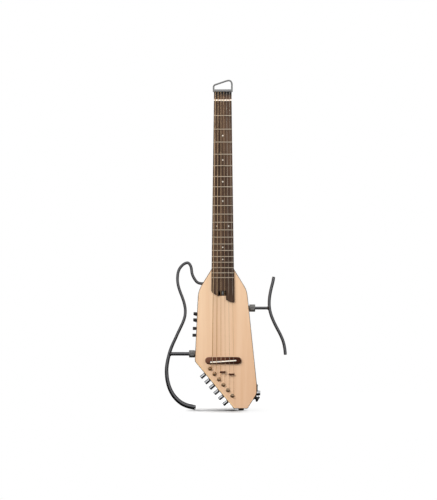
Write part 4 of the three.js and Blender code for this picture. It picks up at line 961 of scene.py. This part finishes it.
def makeString(index):
    shape, gauge = stringShape, gauges[index]
    radius, pitch = gauge / 2, gauge + shape["gap"]
    startY = shape["seat"] - radius - shape["turns"] * pitch
    x, ballY, ballZ = nutX(index), anchorShape["stringY"], anchorShape["ball"][1]
    across = saddleX(index)
    crossing = bridgeShape["saddleZ"] + (across - bridgeShape["x"]) * bridgeShape["tilt"]
    fromSaddle = Vector((across, shape["saddleY"] - radius, crossing))
    centre = tunerPlace(index).translation
    coil = shape["waist"] + seatGap + radius

    def onCoil(turn, y, reach=coil):
        return Vector((centre.x + reach * math.cos(turn), y, centre.z + reach * math.sin(turn)))

    # the string meets its coil as a tangent
    angle = 0.0
    for _ in range(4):
        path = onCoil(angle, startY) - fromSaddle
        angle = math.atan2(path.x, -path.z)
    end = onCoil(angle, startY)
    line = [Vector((x, ballY, ballZ)), Vector((x, ballY, neckShape["top"]))]
    line += [Vector((x, shape["nutY"] - radius, z)) for z in shape["nutZ"]] + [fromSaddle]
    if index in shape["held"]:
        z = shape["held"][index] + shape["holdLead"]
        share = (fromSaddle.z - z) / (fromSaddle.z - end.z)
        line.append(Vector((fromSaddle.x + (end.x - fromSaddle.x) * share, startY, z)))
    for step in range(shape["turns"] * shape["steps"] + 1):
        share = step / shape["steps"]
        line.append(onCoil(angle - 2 * math.pi * share, startY + pitch * share))
    # the end goes into the post's cross hole
    last, tail = angle - 2 * math.pi * shape["turns"], shape["tail"]
    for step in range(1, tail["steps"] + 1):
        line.append(onCoil(last - step * tail["turn"], line[-1].y, coil - step * tail["inward"]))
    run = swept(stations(line, [radius] * len(line)), 10)
    ball = lathe(shape["ball"], 24, (x, ballY, 0))
    twistLine = [Vector((x, ballY, z)) for z in shape["twistZ"]]
    twist = swept(stations(twistLine, [radius * shape["twist"]] * len(twistLine)), 10)
    slotName, finish = ("wound_string", woundWrap) if index < shape["wound"] else ("steel", plainWire)
    finishPiece(f"stringRun{index + 1}", together(run, inFinish(ball, 1), inFinish(twist, 1)), slotName,
                [finish, ballBrass], f"string_{index + 1}", sharp=60)


for index in range(6):
    makeString(index)
print("strings ready")


# Retainers that hold two strings down each

retainerShape = {"thickness": 3.0, "half": 7.25, "end": 2.5, "arc": 125, "steps": 12, "waist": (1.6, 2.0),
                 "leg": (1.75, 1.4), "legY": (-22.8, -10.5), "screw": (1.9, 0.5, 0.5)}


def makeRetainer(number):
    # a waisted bar with round ends on one leg
    shape = retainerShape
    low, high = nodeBox(f"string_retainer_{number}")
    x, z = (low.x + high.x) / 2, (low.z + high.z) / 2
    front, under = low.y, low.y + shape["thickness"]
    end, reach, (waistX, waistZ) = shape["end"], shape["half"] - shape["end"], shape["waist"]
    outline = []
    for side in (1, -1):
        for step in range(shape["steps"] + 1):
            turn = math.radians(-shape["arc"] + 2 * shape["arc"] * step / shape["steps"])
            turn += 0 if side == 1 else math.pi
            outline.append((x + side * reach + end * math.cos(turn), z + end * math.sin(turn)))
        outline += [(x + side * waistX, z + side * waistZ), (x - side * waistX, z + side * waistZ)]
    bar = plate(outline, under, front)
    softenedEdges(bar, frontEdges(bar, front), 0.6, 3)
    (wide, thin), (step, foot) = shape["leg"], shape["legY"]
    leg = lathe([(0, under - 1.5), (wide, under - 1.5), (wide, step), (thin, step), (thin, foot), (0, foot)],
                20, (x, 0, z), toBack)
    finishPiece(f"retainerBar{number}", together(bar, leg), "bridge_wood", [retainerFinish],
                f"string_retainer_{number}")
    screw = aimed(crossScrew(*shape["screw"]), (x, front + 0.45, z), toFront)
    finishPiece(f"retainerScrew{number}", screw, "nickel", [screwBronze])


for number in (1, 2):
    makeRetainer(number)
print("retainers ready")


# Control knobs on the left side

knobShape = {"heights": (243.904, 228.31565, 206.7722, 189.6075), "radius": 4.0, "reach": 9.2,
             "shaft": 2.5, "shaftEnd": -52.48, "flat": 1.3, "pointer": 2.4, "pointed": 2, "ribs": 48}


def leftSide(z):
    # x of the body's left side, which runs straight from the slant to the shoulder
    (lowX, lowZ), (highX, highZ) = bodyShape["slantTop"], bodyShape["leftShoulder"]
    return lowX + (highX - lowX) * (z - lowZ) / (highZ - lowZ)


def makeKnob(index):
    # a ribbed knob with a white line, on the upper two with a pointer
    shape = knobShape
    z, number = shape["heights"][index], index + 1
    outer, inner, radius = leftSide(z) - shape["reach"], leftSide(z) - 0.6, shape["radius"]
    shaft, shaftEnd = shape["shaft"], shape["shaftEnd"]
    profile = [(0, outer + 0.25), (radius - 1.5, outer + 0.25), (radius - 1.3, outer), (radius - 0.7, outer),
               (radius - 0.2, outer + 0.3), (radius, outer + 0.8), (radius, inner - 1.6),
               (radius, inner - 0.3), (radius - 0.3, inner), (shaft, inner), (shaft, shaftEnd), (0, shaftEnd)]
    knob = ribbed(turned(profile, shape["ribs"]), radius - 0.05, 0.3, shape["ribs"], outer + 0.7, inner - 1.5)
    parts = [aimed(knob, (0, 0, z), toRight)]
    if index < shape["pointed"]:
        foot, tip = z - radius, outer + 0.6
        wedge = plate([(inner, foot - shape["pointer"]), (inner, z), (tip, z), (tip, foot + 0.3)],
                      shape["flat"], -shape["flat"])
        softenedEdges(wedge, wedge.edges[:], 0.3, 2)
        parts.append(wedge)
    line = boxBetween((outer - 0.02, -0.3, z - radius + 1.0), (outer + 0.3, 0.3, z - 0.6))
    parts.append(inFinish(line, 1))
    finishPiece(f"controlKnob{number}", together(*parts), "black_plastic", [blackPlastic, whiteMark],
                f"control_knob_{number}", body=f"control_knob_{number}")
    hole = shaft + seatGap
    skirt = lathe([(hole, -0.45), (3.6, -0.45), (3.9, 0.0), (3.9, 0.3), (hole, 0.3), (hole, -0.45)], 32,
                  (leftSide(z), 0, z), toRight)
    finishPiece(f"knobWasher{number}", skirt, "black_plastic", [darkMetal])


for index in range(4):
    makeKnob(index)
print("knobs ready")


# The two bent frames, their collars, sockets and caps

leftTube = {
    "nearX": -54.7, "width": -86.8, "low": 7.1236, "height": 365.2, "radius": 6.27,
    "strutZ": 142.6, "strutEnd": -46.28, "strut": 4.5, "plug": (-41.7, 320.1),
    "shares": [
        (0, 0.857, 0.58), (0.072, 0.861, 0.57), (0.13, 0.87, 0.57), (0.189, 0.888, 0.57),
        (0.256, 0.921, 0.57), (0.299, 0.976, 0.57), (0.363, 0.998, 0.57), (0.422, 1, 0.57),
        (0.537, 0.985, 0.57), (0.649, 0.948, 0.57), (0.686, 0.892, 0.57), (0.658, 0.837, 0.57),
        (0.498, 0.727, 0.58), (0.459, 0.672, 0.58), (0.486, 0.616, 0.59), (0.69, 0.506, 0.6),
        (0.892, 0.396, 0.66), (0.995, 0.287, 0.73), (1, 0.231, 0.76), (0.969, 0.176, 0.79),
        (0.891, 0.12, 0.83), (0.771, 0.074, 0.88), (0.597, 0.035, 0.93), (0.424, 0.014, 0.97),
        (0.19, 0.001, 1),
    ],
}
rightTube = {
    "nearX": 117.5, "width": 40.8, "low": 140.2, "height": 197.3, "radius": 3.9,
    "strutZ": 258.2, "strutEnd": 43.1, "strut": 3.65,
    "shares": [
        (0.268, 0.9855, 1), (0.228, 0.937, 1), (0.134, 0.86, 1), (0.054, 0.783, 1), (0.005, 0.706, 1),
        (0, 0.63, 1), (0.056, 0.552, 1), (0.174, 0.475, 1), (0.339, 0.397, 1), (0.531, 0.32, 1),
        (0.715, 0.246, 1), (0.865, 0.168, 1), (0.951, 0.09, 1), (0.992, 0.0146, 1),
    ],
}
strutThread = {"length": 26.0, "pitch": 0.7, "depth": 0.45}
collarShape = {"radius": 9.3, "length": 15.0, "teeth": 80, "cut": 0.35, "rim": 1.6, "groove": 0.45,
               "throatEnd": 10.3, "sleeve": 2.1}
capShape = {"thickness": 2.6, "pin": (1.8, -5.0)}
socketShapes = {
    "left_socket": {"name": "leftSocketSleeve", "x": (-79.98, -45.98), "z": leftTube["strutZ"],
                    "outer": 6.6, "bore": 4.8, "thread": (-80.0, -68.0)},
    "right_socket": {"name": "rightSocketSleeve", "x": (42.8, 76.8), "z": rightTube["strutZ"],
                     "outer": 5.75, "bore": 3.95, "thread": (64.7, 76.7)},
    "upper_socket": {"name": "upperSocketSleeve", "x": (-55.4, -41.4), "z": leftTube["plug"][1],
                     "outer": 5.75, "bore": 3.954, "thread": (0, 0),
                     "shoulder": ((-50.3, 0, 320.1), (-0.858, 0, 0.513))},
}


def tubeLine(shape, steps):
    # the bent centre line and the radius at each of its points
    knots = [(shape["nearX"] + a * shape["width"], 0, shape["low"] + u * shape["height"])
             for a, u, _ in shape["shares"]]
    return smoothLine(knots, steps), stretched([r * shape["radius"] for *_, r in shape["shares"]], steps)


def addStrut(tube, shape, line, radii):
    # a straight bar along x that flares into the tube's side and ends in a thread
    radius, thread = shape["strut"], strutThread
    nearest = min(line, key=lambda p: abs(p.z - shape["strutZ"]))
    wide = radii[line.index(nearest)]
    length = abs(shape["strutEnd"] - nearest.x)
    at = length - thread["length"]
    profile = [(0, 0), (wide * 0.98, 0), (radius + 2.2, wide * 0.72), (radius + 1.0, wide + 0.4),
               (radius + 0.35, wide + 1.3), (radius, wide + 2.4), (radius, at)]
    while at < length - 1.2:
        profile += [(radius - thread["depth"], at + 0.25), (radius, at + 0.6)]
        at += thread["pitch"]
    profile += [(radius - 0.5, length), (0, length)]
    strut = lathe(profile, 28, (nearest.x, 0, 0), toRight if shape["strutEnd"] > nearest.x else toLeft)
    strut.transform(Matrix.Translation((0, 0, shape["strutZ"])))
    return together(tube, strut)


def makeCap(name, node, body, end, before, radius):
    pin, pinFoot = capShape["pin"]
    top = seatGap + capShape["thickness"]
    profile = [(0, pinFoot), (pin, pinFoot), (pin, seatGap), (radius - 0.25, seatGap), (radius, 0.5),
               (radius, top - 1.3), (radius - 0.25, top - 0.7), (radius - 0.8, top - 0.25),
               (radius * 0.5, top - 0.05), (0, top)]
    cap = lathe(profile, 32, end, (end - before).normalized())
    finishPiece(name, cap, "black_plastic", [blackPlastic], node, body=body)


def makeLeftFrame():
    shape = leftTube
    line, radii = tubeLine(shape, 7)
    plugX, plugZ = shape["plug"]
    line = [Vector((plugX - step, 0, plugZ)) for step in (0, 0.6, 6)] + line
    radii = [radii[0] - 0.6, radii[0], radii[0]] + radii
    tube = addStrut(swept(stations(line, radii), 28), shape, line, radii)
    finishPiece("leftFrameTube", tube, "frame_tube", [framePaint], "left_frame", body="left_frame")
    makeCap("leftEndCap", "left_end_cap", "left_frame", line[-1], line[-2], radii[-1])


def makeRightFrame():
    shape = rightTube
    line, radii = tubeLine(shape, 8)
    tube = addStrut(swept(stations(line, radii), 24), shape, line, radii)
    finishPiece("rightFrameTube", tube, "frame_tube", [framePaint], "right_frame", body="right_frame")
    makeCap("rightUpperCap", "right_upper_cap", "right_frame", line[0], line[1], radii[0])
    makeCap("rightLowerCap", "right_lower_cap", "right_frame", line[-1], line[-2], radii[-1])


def makeCollar(name, node, tube, seatX, way):
    # straight ribs between two plain rims, hollow over the socket's sleeve
    shape = collarShape
    near, far, radius, rim, sides = seatGap, shape["length"], shape["radius"], shape["rim"], shape["teeth"]
    throat, throatEnd = tube["strut"] + seatGap, shape["throatEnd"]
    room, groove, rib = throat + shape["sleeve"], radius - shape["groove"], radius - 0.02
    low, high = near + rim, far - rim
    profile = [(room, near), (radius - 0.5, near), (radius, near + 0.5), (radius, low), (groove, low + 0.35),
               (groove, low + 0.7), (rib, low + 1.1), (rib, high - 1.1), (groove, high - 0.7),
               (groove, high - 0.35), (radius, high), (radius, far - 0.6), (radius - 0.6, far),
               (throat + 0.4, far), (throat, far - 0.4), (throat, throatEnd), (room, throatEnd), (room, near)]
    bm = ribbed(turned(profile, sides), radius - 0.1, shape["cut"], sides, low + 1.0, high - 1.0)
    aimed(bm, (seatX, 0, tube["strutZ"]), way)
    finishPiece(name, bm, "frame_tube", [collarMetal], node, body=node, sharp=28)


def makeSocket(node, shape):
    (low, high), outer, bore = shape["x"], shape["outer"], shape["bore"]
    threadLow, threadHigh = shape["thread"]
    profile = [(bore, low), (outer - 0.4, low), (outer, low + 0.4)]
    at = low + 1.0
    while at < high - 1.4:
        profile.append((outer, at))
        if threadLow < at < threadHigh:
            profile.append((outer - 0.4, at + 0.4))
        at += 0.8
    profile += [(outer, high - 0.4), (outer - 0.4, high), (bore, high), (bore, low)]
    bm = lathe(profile, 28, (0, 0, shape["z"]), toRight)
    if "shoulder" in shape:
        # the sleeve ends with the shoulder that it comes out of
        point, out = shape["shoulder"]
        cut = bmesh.ops.bisect_plane(bm, geom=bm.verts[:] + bm.edges[:] + bm.faces[:], dist=0.001,
                                     plane_co=point, plane_no=out, clear_outer=True)["geom_cut"]
        bmesh.ops.holes_fill(bm, edges=[e for e in cut if isinstance(e, bmesh.types.BMEdge)], sides=0)
    finishPiece(shape["name"], bm, "dark_plastic", [darkMetal], node)


makeLeftFrame()
makeRightFrame()
makeCollar("leftCollarNut", "left_collar", leftTube, -69.98, toLeft)
makeCollar("rightCollarNut", "right_collar", rightTube, 66.8, toRight)
for node, shape in socketShapes.items():
    makeSocket(node, shape)
print("frames ready")


# Foot, strap button, output jack

footProfile = [(0, 0.6), (1.9, 0.6), (2.1, 0), (5.6, 0), (6.5, 0.3), (6.85, 1.1), (6.6, 4.6), (6.3, 5.4),
               (2.2, 5.4), (2.2, 17.7), (0, 17.7)]
buttonShape = {
    "at": (80.1112, -6.5, 33.8705), "way": (0.847206, 0, -0.531265), "screwZ": 10.85,
    "screw": (2.6, 0.9, 0.7),
    "profile": [(0, -15.0), (2.0, -15.0), (2.0, 0.3), (7.0, 0.3), (7.3, 0.6), (7.3, 1.5), (6.9, 1.9),
                (4.9, 2.4), (4.2, 3.4), (4.2, 6.0), (4.9, 6.9), (6.9, 7.2), (7.4, 7.6), (7.5, 8.3),
                (7.5, 11.0), (7.2, 11.7), (6.5, 12.0), (3.2, 11.6), (2.9, 10.9), (0, 10.9)],
}
jackShape = {
    "at": (0, 8.5, 43.012), "room": (7.1, 80.0, 100.0), "screwDrop": 3.4, "screw": (1.7, 0.6, 0.5),
    "profile": [(0, 66.97), (3.3, 66.97), (3.3, 94.47), (3.9, 94.97), (5.6, 94.97), (6.0, 94.57),
                (6.0, 91.77), (6.45, 91.47), (6.7, 91.17), (6.7, 83.47), (4.75, 83.47), (4.75, 56.47),
                (0, 56.47)],
}


def makeFoot():
    finishPiece("endFoot", lathe(footProfile, 40, (footShift, 0, 0)), "rubber", [rubber], "end_foot")


def makeButton():
    shape = buttonShape
    screw = aimed(crossScrew(*shape["screw"]), (0, 0, shape["screwZ"]))
    bm = together(turned(shape["profile"], 40), inFinish(screw, 1))
    finishPiece("strapButton", aimed(bm, shape["at"], shape["way"]), "black_plastic",
                [blackPlastic, darkMetal], "strap_button")


def makeJack():
    shape = jackShape
    finishPiece("outputJack", lathe(shape["profile"], 40, shape["at"], toRight), "chrome", [chrome],
                "output_jack")
    low, high = nodeBox("jack_plate")
    hollow = lathe(barProfile(*shape["room"]), 40, shape["at"], toRight)
    finishPiece("jackStrip", carved(boxBetween(low, high, 0.4, 2), hollow), "dark_plastic", [darkMetal],
                "jack_plate")
    place = (high.x - 0.05, shape["at"][1], high.z - shape["screwDrop"])
    finishPiece("jackScrew", aimed(crossScrew(*shape["screw"]), place, toRight), "steel", [darkMetal])


makeFoot()
makeButton()
makeJack()
print("fittings ready")


# Back: the two covers, battery and electronics

coverShape = {"corner": 3.0, "screwInset": 4.0, "screwSink": 0.6, "screw": (2.3, 0.55, 0.6)}
rodNutShape = {"radius": 3.6, "key": 1.9}
doorShape = {"corner": 2.0, "groove": (5.0, -6.0, 6.0), "grooveInset": 2.5, "grooveRise": 4.1, "latch": 5.0,
             "hinge": [(0, -5.5), (0.9, -5.5), (1.0, -5.3), (1.0, 5.3), (0.9, 5.5), (0, 5.5)],
             "hingeInset": 1.1, "hingeApart": 18.0}
cellShape = {
    "lid": 1.2, "studInset": 7.0, "studSink": 0.95,
    "studs": ([(0, 0), (2.8, 0), (2.9, 0.5), (2.4, 0.9), (1.4, 0.9), (1.2, 0.4), (0, 0.4)],
              [(0, 0), (3.9, 0), (4.0, 0.6), (3.6, 0.9), (3.0, 0.9), (2.9, 0.3), (0, 0.3)]),
}


def makeLid(low, high, corner, segments):
    # a flat cover on the back with rounded corners and a soft outer edge
    lid = boxBetween(low, high)
    softenedEdges(lid, deepEdges(lid), corner, segments)
    return softenedEdges(lid, frontEdges(lid, high.y), 0.5, 2)


def makeRearCover():
    shape = coverShape
    low, high = nodeBox("rear_cover")
    parts = [makeLid(low, high, shape["corner"], 5)]
    inset = shape["screwInset"]
    for x in (low.x + inset, high.x - inset):
        for z in (low.z + inset, high.z - inset):
            screw = aimed(crossScrew(*shape["screw"]), (x, high.y - shape["screwSink"], z), toBack)
            parts.append(inFinish(screw, 1))
    finishPiece("rearCover", together(*parts), "black_plastic", [blackPlastic, darkMetal], "rear_cover",
                weighted=True)


def makeBatteryDoor():
    # a finger groove and a latch on its free side, two hinge knuckles on the other
    shape = doorShape
    low, high = nodeBox("battery_cover")
    middle = (low.z + high.z) / 2
    groove = lathe(barProfile(*shape["groove"]), 32,
                   (high.x - shape["grooveInset"], high.y + shape["grooveRise"], middle))
    door = carved(makeLid(low, high, shape["corner"], 4), groove)
    latch = boxBetween((high.x - 1.6, low.y + 0.2, middle - shape["latch"]),
                       (high.x - 0.1, high.y - 0.4, middle + shape["latch"]), 0.2, 2)
    inset, apart = shape["hingeInset"], shape["hingeApart"]
    knuckles = [lathe(shape["hinge"], 20, (low.x + inset, high.y - inset, z))
                for z in (middle - apart, middle + apart)]
    finishPiece("batteryDoor", together(door, latch, *knuckles), "black_plastic", [blackPlastic],
                "battery_cover", body="battery_cover")


def makeBattery():
    # a rounded case with metal ends and two snap contacts at its upper end
    shape = cellShape
    low, high = nodeBox("battery")
    y, inset = (low.y + high.y) / 2, shape["studInset"]
    case = boxBetween(low, (high.x, high.y, high.z - shape["lid"]), 1.6, 4)
    lid = boxBetween((low.x + 0.6, low.y + 0.6, high.z - 1.6), (high.x - 0.6, high.y - 0.6, high.z - 0.9),
                     0.3, 2)
    studs = [lathe(profile, 24, (x, y, high.z - shape["studSink"]))
             for x, profile in zip((low.x + inset, high.x - inset), shape["studs"])]
    finishPiece("batteryCell", together(case, *[inFinish(part, 1) for part in (lid, *studs)]), "cell",
                [cellSkin, cellMetal], "battery")


def makeRodNut():
    shape = rodNutShape
    low, high = nodeBox("truss_rod_nut")
    nut = socketScrew(shape["radius"], high.z - low.z, shape["key"])
    aimed(nut, (0, (low.y + high.y) / 2, high.z), downward)
    finishPiece("rodNut", nut, "nut_brass", [satinMetal], "truss_rod_nut", body="truss_rod_nut")


makeRearCover()
makeBatteryDoor()
makeBattery()
makeRodNut()

# These keep the CAD's own shape
carried = {"truss_rod": plainSteel, "saddle_pickup": nickel, "preamp_module": circuitGreen}
for name, finish in carried.items():
    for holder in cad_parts[name].material_slots:
        holder.material = finish
print("back ready")


# Camera, lamps and floor

view = {"x": -0.05729, "z": 0.40485, "plane": -0.0265, "away": 6.0, "tall": 1.25727, "sensor": 36.0}
camera = bpy.data.objects.new("camera", bpy.data.cameras.new("camera"))
bpy.context.scene.collection.objects.link(camera)
camera.data.sensor_width = view["sensor"]
camera.data.lens = view["sensor"] * view["away"] / view["tall"]
camera.location = (view["x"], view["plane"] - view["away"], view["z"])
camera.rotation_euler = (math.radians(90), 0, 0)
bpy.context.scene.camera = camera

lamps = {
    "key": {"at": (-1.6, -3.0, 1.6), "size": 2.2, "power": 125},
    "fill": {"at": (2.2, -2.6, 0.9), "size": 2.0, "power": 14},
    "top": {"at": (0.5, -0.1, 4.6), "size": 1.0, "power": 140},
    "side": {"at": (2.8, 0.3, 1.5), "size": 1.8, "power": 46},
    "back": {"at": (-1.4, 2.8, 1.9), "size": 2.2, "power": 90},
}
lampAim = Vector((-0.05, 0, 0.35))
for name, lamp in lamps.items():
    light = bpy.data.objects.new(name, bpy.data.lights.new(name, "AREA"))
    light.data.size = lamp["size"]
    light.data.energy = lamp["power"]
    light.location = lamp["at"]
    light.rotation_euler = (lampAim - Vector(lamp["at"])).to_track_quat("-Z", "Y").to_euler()
    light.visible_glossy = False
    bpy.context.scene.collection.objects.link(light)

# A white dome that is brighter above, and plain white where it is seen straight
skyShape = {"low": -0.3, "high": 0.8, "dim": 0.12, "bright": 0.5}
world = bpy.data.worlds.new("studio")
bpy.context.scene.world = world
world.use_nodes = True
sky = world.node_tree
sky.nodes.clear()
height = put(sky, "SeparateXYZ", {0: put(sky, "TexCoord").outputs["Generated"]}).outputs[2]
soft = ranged(sky, height, skyShape["low"], skyShape["high"], skyShape["dim"], skyShape["bright"])
dome, white = [put(sky, "Background", {"Color": (1, 1, 1, 1), "Strength": strength}).outputs[0]
               for strength in (soft, 1.0)]
chosen = put(sky, "MixShader", {0: seenStraight(sky), 1: dome, 2: white}).outputs[0]
put(sky, "OutputWorld", {"Surface": chosen})


def flatPiece(name, bm, finish):
    mesh = bpy.data.meshes.new(name)
    bm.to_mesh(mesh)
    bm.free()
    mesh.materials.append(finish)
    piece = bpy.data.objects.new(name, mesh)
    bpy.context.scene.collection.objects.link(piece)
    return piece


# The floor: a contact shadow painted into its colour from ambient occlusion near the object, and white beyond
# it and at the shadow's two sides
floorShape = {"radius": 40.0, "near": 0.3, "far": 0.8, "contact": 0.2, "depth": 2.2, "paint": 0.78,
              "right": (-0.018, 0.02, 0.0, 0.9), "left": (-0.107, -0.142)}


def makeFloorFinish():
    shape = floorShape
    material = bpy.data.materials.new("floorFinish")
    material.use_nodes = True
    tree = material.node_tree
    tree.nodes.clear()
    spot = put(tree, "TexCoord").outputs["Object"]
    away = put(tree, "VectorMath", {0: spot}, operation="LENGTH").outputs["Value"]
    distant = ranged(tree, away, shape["near"], shape["far"])
    across = put(tree, "SeparateXYZ", {0: spot}).outputs[0]
    for side in ("right", "left"):
        distant = calc(tree, "MAXIMUM", distant, ranged(tree, across, *shape[side]))
    # painted shadow: ambient occlusion darkens the floor's colour round the object
    contact = put(tree, "AmbientOcclusion", {"Distance": shape["contact"]}, samples=16).outputs["AO"]
    contact = calc(tree, "MULTIPLY", calc(tree, "POWER", contact, shape["depth"]), shape["paint"])
    near = put(tree, "BsdfDiffuse", {"Color": contact}).outputs[0]
    bright = put(tree, "Emission", {"Strength": 1.0}).outputs[0]
    share = calc(tree, "MULTIPLY", seenStraight(tree), distant)
    mixed = put(tree, "MixShader", {0: share, 1: near, 2: bright}).outputs[0]
    put(tree, "OutputMaterial", {"Surface": mixed})
    return material


ground = bmesh.new()
bmesh.ops.create_circle(ground, cap_ends=True, radius=floorShape["radius"], segments=64)
floor = flatPiece("floor", ground, makeFloorFinish())
floor.visible_diffuse = False  # the underside of the tubes stays dark, as on a cloth

# Black cards that only reflections see, for the dark bands in the chrome and along the tubes
cards = {
    "cardRight": {"at": (1.0, 0.5, 0.6), "size": (1.6, 1.3), "turn": (90, 0, 90)},
    "cardLeft": {"at": (-1.0, 0.55, 0.5), "size": (1.5, 1.1), "turn": (90, 0, 90)},
    "cardHigh": {"at": (-1.3, 0.6, 1.8), "size": (1.6, 1.6), "turn": (90, 0, 90)},
    "cardLow": {"at": (0.0, 0.4, 0.0015), "size": (6.0, 3.2), "turn": (0, 0, 0)},
}
black, _, sockets, _ = startFinish("cardBlack", specular=0.0)
sockets["Base Color"].default_value = tone(10, 10, 10)
for name, card in cards.items():
    sheet = bmesh.new()
    bmesh.ops.create_grid(sheet, x_segments=1, y_segments=1, size=0.5)
    flag = flatPiece(name, sheet, black)
    flag.location = card["at"]
    flag.scale = (*card["size"], 1)
    flag.rotation_euler = [math.radians(angle) for angle in card["turn"]]
    flag.visible_camera = flag.visible_diffuse = flag.visible_shadow = flag.visible_transmission = False

bpy.context.scene.view_settings.view_transform = "Standard"
print("studio ready")
